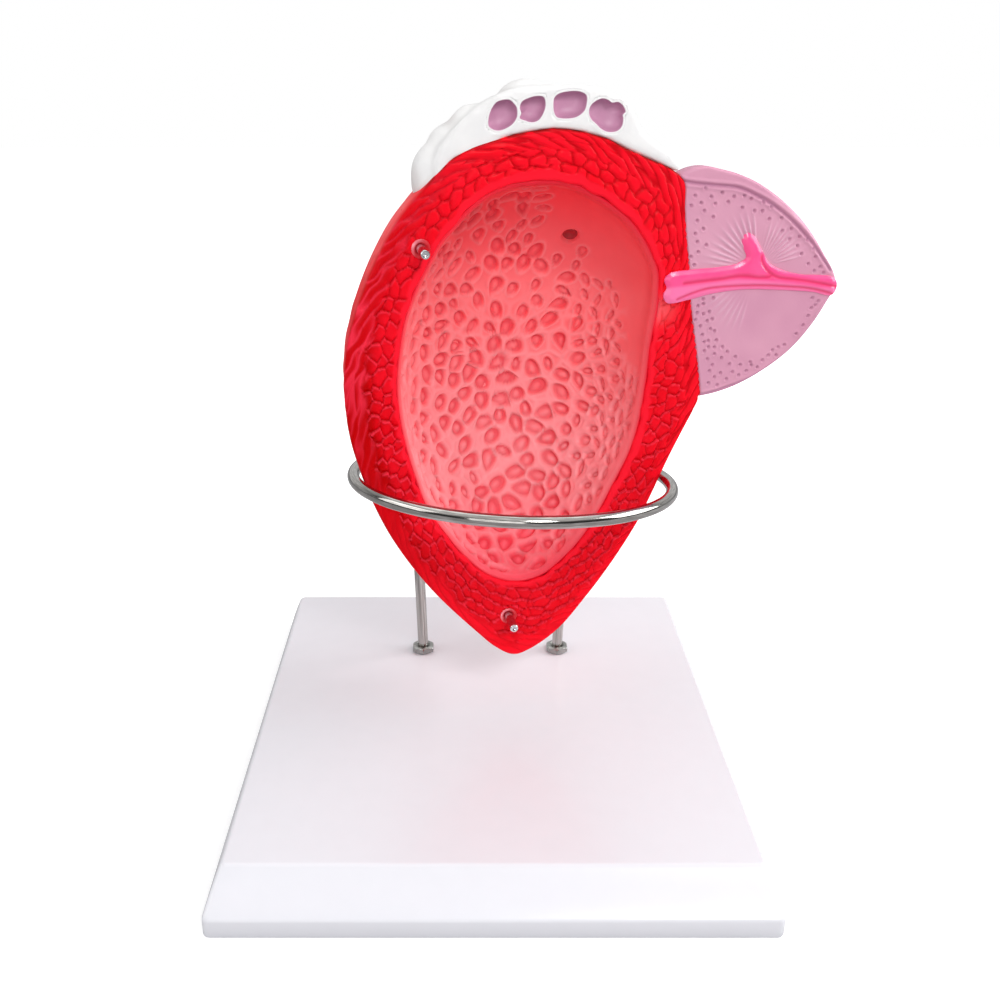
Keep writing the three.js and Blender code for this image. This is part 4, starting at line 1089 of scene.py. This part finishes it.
def painted_urethra():
    """Glossy rose enamel over the cast strip, with painted shade in its grooves, and paler on the lower lobe."""
    finish, tree, place = new_finish(
        "painted_urethra", {"Roughness": 0.3, "Coat Weight": 0.3, "Coat Roughness": 0.15})
    coat(
        tree, clouded(tree, place, 9, 2, ("FF458A", "FF5495"), (0.3, 0.7)),
        ("lobe", 0, 1, 1, "FF74AC"), ("groove_shade", 0, 1, 0.85, "E0245C"))
    bumpy(tree, place, 1.2, 0.06, 0.5, detail=2)
    return finish


def painted_vesicle():
    """White satin enamel on the vesicle, with painted shade of a faint warm grey in the hollows of its folds."""
    finish, tree, place = new_finish("painted_vesicle", {})
    coat(tree, clouded(tree, place, 12, 3, ("EBEAEA", "F2F1F0"), (0.3, 0.7)), ("fold_shade", 0, 1, 0.5, "D2CDCB"))
    uneven_gloss(tree, place, 5, (0.36, 0.5))
    bumpy(tree, place, 1.6, 0.1, 0.5)
    return finish


def painted_lumen():
    """Mauve enamel in the cut tubes, with painted shade that is darkest under the upper rim and fades out towards the
    bottom of the bowl.
    """
    finish, tree, place = new_finish("painted_lumen", {"Roughness": 0.4})
    coat(
        tree, clouded(tree, place, 4, 3, ("C48AAA", "D49EBB")),
        ("upper_rim_shade", 0.1, 0.9, 0.5, "8A5274"), ("inside", 1, 0, 1, "EFEEED"))
    bumpy(tree, place, 1.0, 0.1, 0.6)
    return finish


def moulded_abs():
    """White gloss ABS: an even gloss, over the faint slow swell of a moulded plate."""
    finish, tree, place = new_finish("moulded_abs", {"Roughness": 0.26, "IOR": 1.54})
    coat(tree, clouded(tree, place, 9, 2, ("E2E2E8", "E5E5EB")))
    bumpy(tree, place, 25, 0.01, 0.5, detail=1)
    return finish


def bright_chrome():
    """Chromed drawn wire: bright but greyed, with handling haze and draw marks that run along it.

    The marks are 0.3 mm wide and 10 mm long, coarser than real ones, so that they show."""
    finish, tree, place = new_finish("bright_chrome", {"Metallic": 1.0})
    around = add_node(tree, "ShaderNodeAttribute", attribute_name="around").outputs["Fac"]
    run = add_node(tree, "ShaderNodeAttribute", attribute_name="run").outputs["Fac"]
    lengthwise = add_node(tree, "ShaderNodeCombineXYZ", {"X": around, "Y": run}).outputs["Vector"]
    marks = add_node(tree, "ShaderNodeTexNoise", {"Vector": lengthwise, "Scale": 9, "Detail": 3, "Roughness": 0.6})
    amount = add_node(tree, "ShaderNodeMapRange", {
        "Value": marks.outputs["Fac"], "From Min": 0.35, "From Max": 0.65}).outputs["Result"]
    dull, bright = linear("8C8985"), linear("BEBBB7")
    coat(tree, add_node(tree, "ShaderNodeMix", {0: amount, 6: dull, 7: bright}, data_type="RGBA").outputs[2])
    uneven_gloss(tree, place, 7, (0.07, 0.16), detail=4, share=(0.3, 0.7))
    bump = add_node(tree, "ShaderNodeBump", {"Height": marks.outputs["Fac"], "Distance": 0.01 * MM, "Strength": 0.3})
    tree.links.new(bump.outputs["Normal"], tree.nodes["Principled BSDF"].inputs["Normal"])
    return finish


def zinc_steel():
    """Zinc-plated turned steel: grey, half bright, slightly mottled."""
    finish, tree, place = new_finish("zinc_steel", {"Metallic": 1.0})
    coat(tree, clouded(tree, place, 2.5, 3, ("8A8A88", "B0AFAC")))
    uneven_gloss(tree, place, 1.5, (0.22, 0.4))
    bumpy(tree, place, 0.7, 0.03, 0.5, detail=2)
    return finish


def ground_steel():
    """Ground dowel steel: bright, with a fine uneven sheen."""
    finish, tree, place = new_finish("ground_steel", {"Metallic": 1.0})
    coat(tree, clouded(tree, place, 1.5, 3, ("B8BABC", "D8DADC")))
    uneven_gloss(tree, place, 0.8, (0.12, 0.26))
    bumpy(tree, place, 0.4, 0.01, 0.5, detail=2)
    return finish


def sleeve_plastic():
    """Pale pink moulded sleeve, satin, painted red all over except on its upper left, where the pale pink is left as a
    painted highlight.
    """
    finish, tree, place = new_finish("sleeve_plastic", {"Roughness": 0.35})
    coat(tree, clouded(tree, place, 2.5, 3, ("FFA4AE", "F47C8A"), (0.35, 0.65)), ("lit", 1, 0, 1, "E01424"))
    bumpy(tree, place, 0.9, 0.05, 0.5, detail=2)
    return finish


def dress(piece, finish, body, slot, *nodes):
    """Gives a piece its finish and the body it rides on, and hides the part's solids it stands for; its slot is not
    used.
    """
    piece.data.materials.clear()
    piece.data.materials.append(finish)
    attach(piece, body)
    if nodes:
        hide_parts(*nodes)


# Build everything

abs_white, chrome, zinc = moulded_abs(), bright_chrome(), zinc_steel()
dress(base_shell(), abs_white, "stand", "base_white", "base_shell")
dress(support_ring(), chrome, "stand", "rod_chrome", "support_ring")
for side, foot_x in FEET.items():
    dress(boss_under_nut(side, foot_x), abs_white, "stand", "base_white")
    dress(hex_nut(f"upper_nut_{side}_turned", foot_x, 20.3, 0.9), zinc, "stand", "nut_steel", f"upper_nut_{side}")
    dress(washer(f"washer_{side}_pressed", foot_x, 13.7), zinc, "stand", "nut_steel", f"washer_{side}")
    dress(hex_nut(f"lower_nut_{side}_turned", foot_x, 10.4, 0.4), zinc, "stand", "nut_steel", f"lower_nut_{side}")

dress(muscle_wall(), painted_muscle(), "bladder_half", "muscle_red", "muscle_wall")
dress(mucosa_lining(), painted_mucosa(), "bladder_half", "lining_pink", "mucosa_lining")
dress(orifice_mouth(), painted_orifice(), "bladder_half", "orifice_red", "ureter_orifice")
dress(prostate(), painted_prostate(), "bladder_half", "prostate_mauve", "prostate")
dress(urethra_strip(), painted_urethra(), "bladder_half", "urethra_pink", "urethra_strip")
dress(seminal_vesicle(), painted_vesicle(), "bladder_half", "vesicle_white", "seminal_vesicle")
lumen_paint = painted_lumen()
for number, outline in enumerate(LUMEN_OUTLINES, 1):
    dress(vesicle_lumen(number, outline), lumen_paint, "bladder_half", "lumen_mauve", f"vesicle_lumen_{number}")
steel, sleeve = ground_steel(), sleeve_plastic()
for level, at in PINS.items():
    dress(locating_pin(level, at), steel, "bladder_half", "pin_steel", f"locating_pin_{level}")
    dress(pin_sleeve(level, at), sleeve, "bladder_half", "sleeve_pink", f"pin_sleeve_{level}")


# Floor, light and camera, in metres

# Each lamp's place, the point it faces, its width and height, and its power
LAMPS = {
    "key": ((0.42, -1.1, 0.98), (0, 0, 0.14), (0.38, 0.38), 7.6),
    "fill": ((-0.3, -1.5, 0.4), (0, 0, 0.14), (1.0, 0.8), 4.6),
    "above": ((-0.05, 0.45, 1.2), (0, 0, 0.1), (1.5, 1.0), 3.4),
    "left": ((-0.95, -0.15, 0.55), (0, 0, 0.04), (0.8, 0.6), 3.2),
    "right": ((0.95, 0.05, 0.55), (0, 0, 0.04), (0.8, 0.6), 8.6),
}
CAMERA_AT, CAMERA_LOOKS_DOWN = (-0.02796, -0.42905, 0.291), 21.49


def pale_floor():
    """A matt floor that the camera sees nearly white, apart from the object's shadow."""
    bm = bmesh.new()
    bmesh.ops.create_grid(bm, x_segments=1, y_segments=1, size=4)
    floor = finish_piece(bm, "pale_floor")
    finish, tree, place = new_finish(
        "pale_floor", {"Roughness": 0.9, "Specular IOR Level": 0.1, "Emission Color": linear("FFFFFF")})
    seen = add_node(tree, "ShaderNodeLightPath").outputs["Is Camera Ray"]
    lit, shown = linear("B4B4B6"), linear("F4F4F4")
    coat(tree, add_node(tree, "ShaderNodeMix", {0: seen, 6: lit, 7: shown}, data_type="RGBA").outputs[2])
    from_middle = add_node(tree, "ShaderNodeVectorMath", {0: place}, operation="LENGTH").outputs["Value"]
    glow = add_node(tree, "ShaderNodeMapRange", {
        "Value": from_middle, "From Min": 0.15, "From Max": 0.6, "To Min": 0.3, "To Max": 0.8}).outputs["Result"]
    glow = add_node(tree, "ShaderNodeMath", {0: seen, 1: glow}, operation="MULTIPLY").outputs[0]
    tree.links.new(glow, tree.nodes["Principled BSDF"].inputs["Emission Strength"])
    floor.data.materials.append(finish)


def place_in_scene(name, data, at):
    holder = bpy.data.objects.new(name, data)
    holder.location = at
    bpy.context.scene.collection.objects.link(holder)
    return holder


def softboxes():
    for name, (at, aim, size, power) in LAMPS.items():
        lamp = bpy.data.lights.new(name, "AREA")
        lamp.shape = "RECTANGLE"
        lamp.size, lamp.size_y = size
        lamp.energy = power
        holder = place_in_scene(name, lamp, at)
        holder.rotation_euler = (Vector(aim) - Vector(at)).to_track_quat("-Z", "Y").to_euler()


def studio_room():
    """A dim even room that lights the object; metal sees its bright ceiling and back wall, the camera white."""
    world = bpy.data.worlds.new("studio")
    bpy.context.scene.world = world
    world.use_nodes = True
    tree = world.node_tree
    heading = add_node(tree, "ShaderNodeTexCoord").outputs["Generated"]
    heading = add_node(tree, "ShaderNodeSeparateXYZ", {"Vector": heading}).outputs
    ceiling = add_node(tree, "ShaderNodeMapRange", {
        "Value": heading["Z"], "From Min": 0.35, "From Max": 0.75, "To Min": 0.06, "To Max": 1.0}).outputs["Result"]
    back_wall = add_node(tree, "ShaderNodeMapRange", {
        "Value": heading["Y"], "From Min": 0.1, "From Max": 0.8, "To Min": 0.0, "To Max": 0.7}).outputs["Result"]
    room = add_node(tree, "ShaderNodeMath", {0: ceiling, 1: back_wall}, operation="MAXIMUM").outputs[0]
    path = add_node(tree, "ShaderNodeLightPath").outputs
    strength = add_node(tree, "ShaderNodeMix", {0: path["Is Glossy Ray"], 2: 0.36, 3: room}).outputs[0]
    straight = add_node(
        tree, "ShaderNodeMath", {0: path["Is Camera Ray"], 1: path["Is Transmission Ray"]}, operation="MAXIMUM")
    strength = add_node(tree, "ShaderNodeMix", {0: straight.outputs[0], 2: strength, 3: 1.0}).outputs[0]
    light = tree.nodes["Background"]
    light.inputs["Color"].default_value = linear("FFFFFF")
    tree.links.new(strength, light.inputs["Strength"])


def photo_camera():
    camera = bpy.data.cameras.new("photo_view")
    camera.sensor_width = 36
    camera.lens = 39.6
    camera.shift_x = 0.036
    holder = place_in_scene("photo_view", camera, CAMERA_AT)
    holder.rotation_euler = (radians(90 - CAMERA_LOOKS_DOWN), 0, 0)
    bpy.context.scene.camera = holder


pale_floor()
softboxes()
studio_room()
photo_camera()
bpy.context.scene.view_settings.view_transform = "Standard"
bpy.context.view_layer.update()
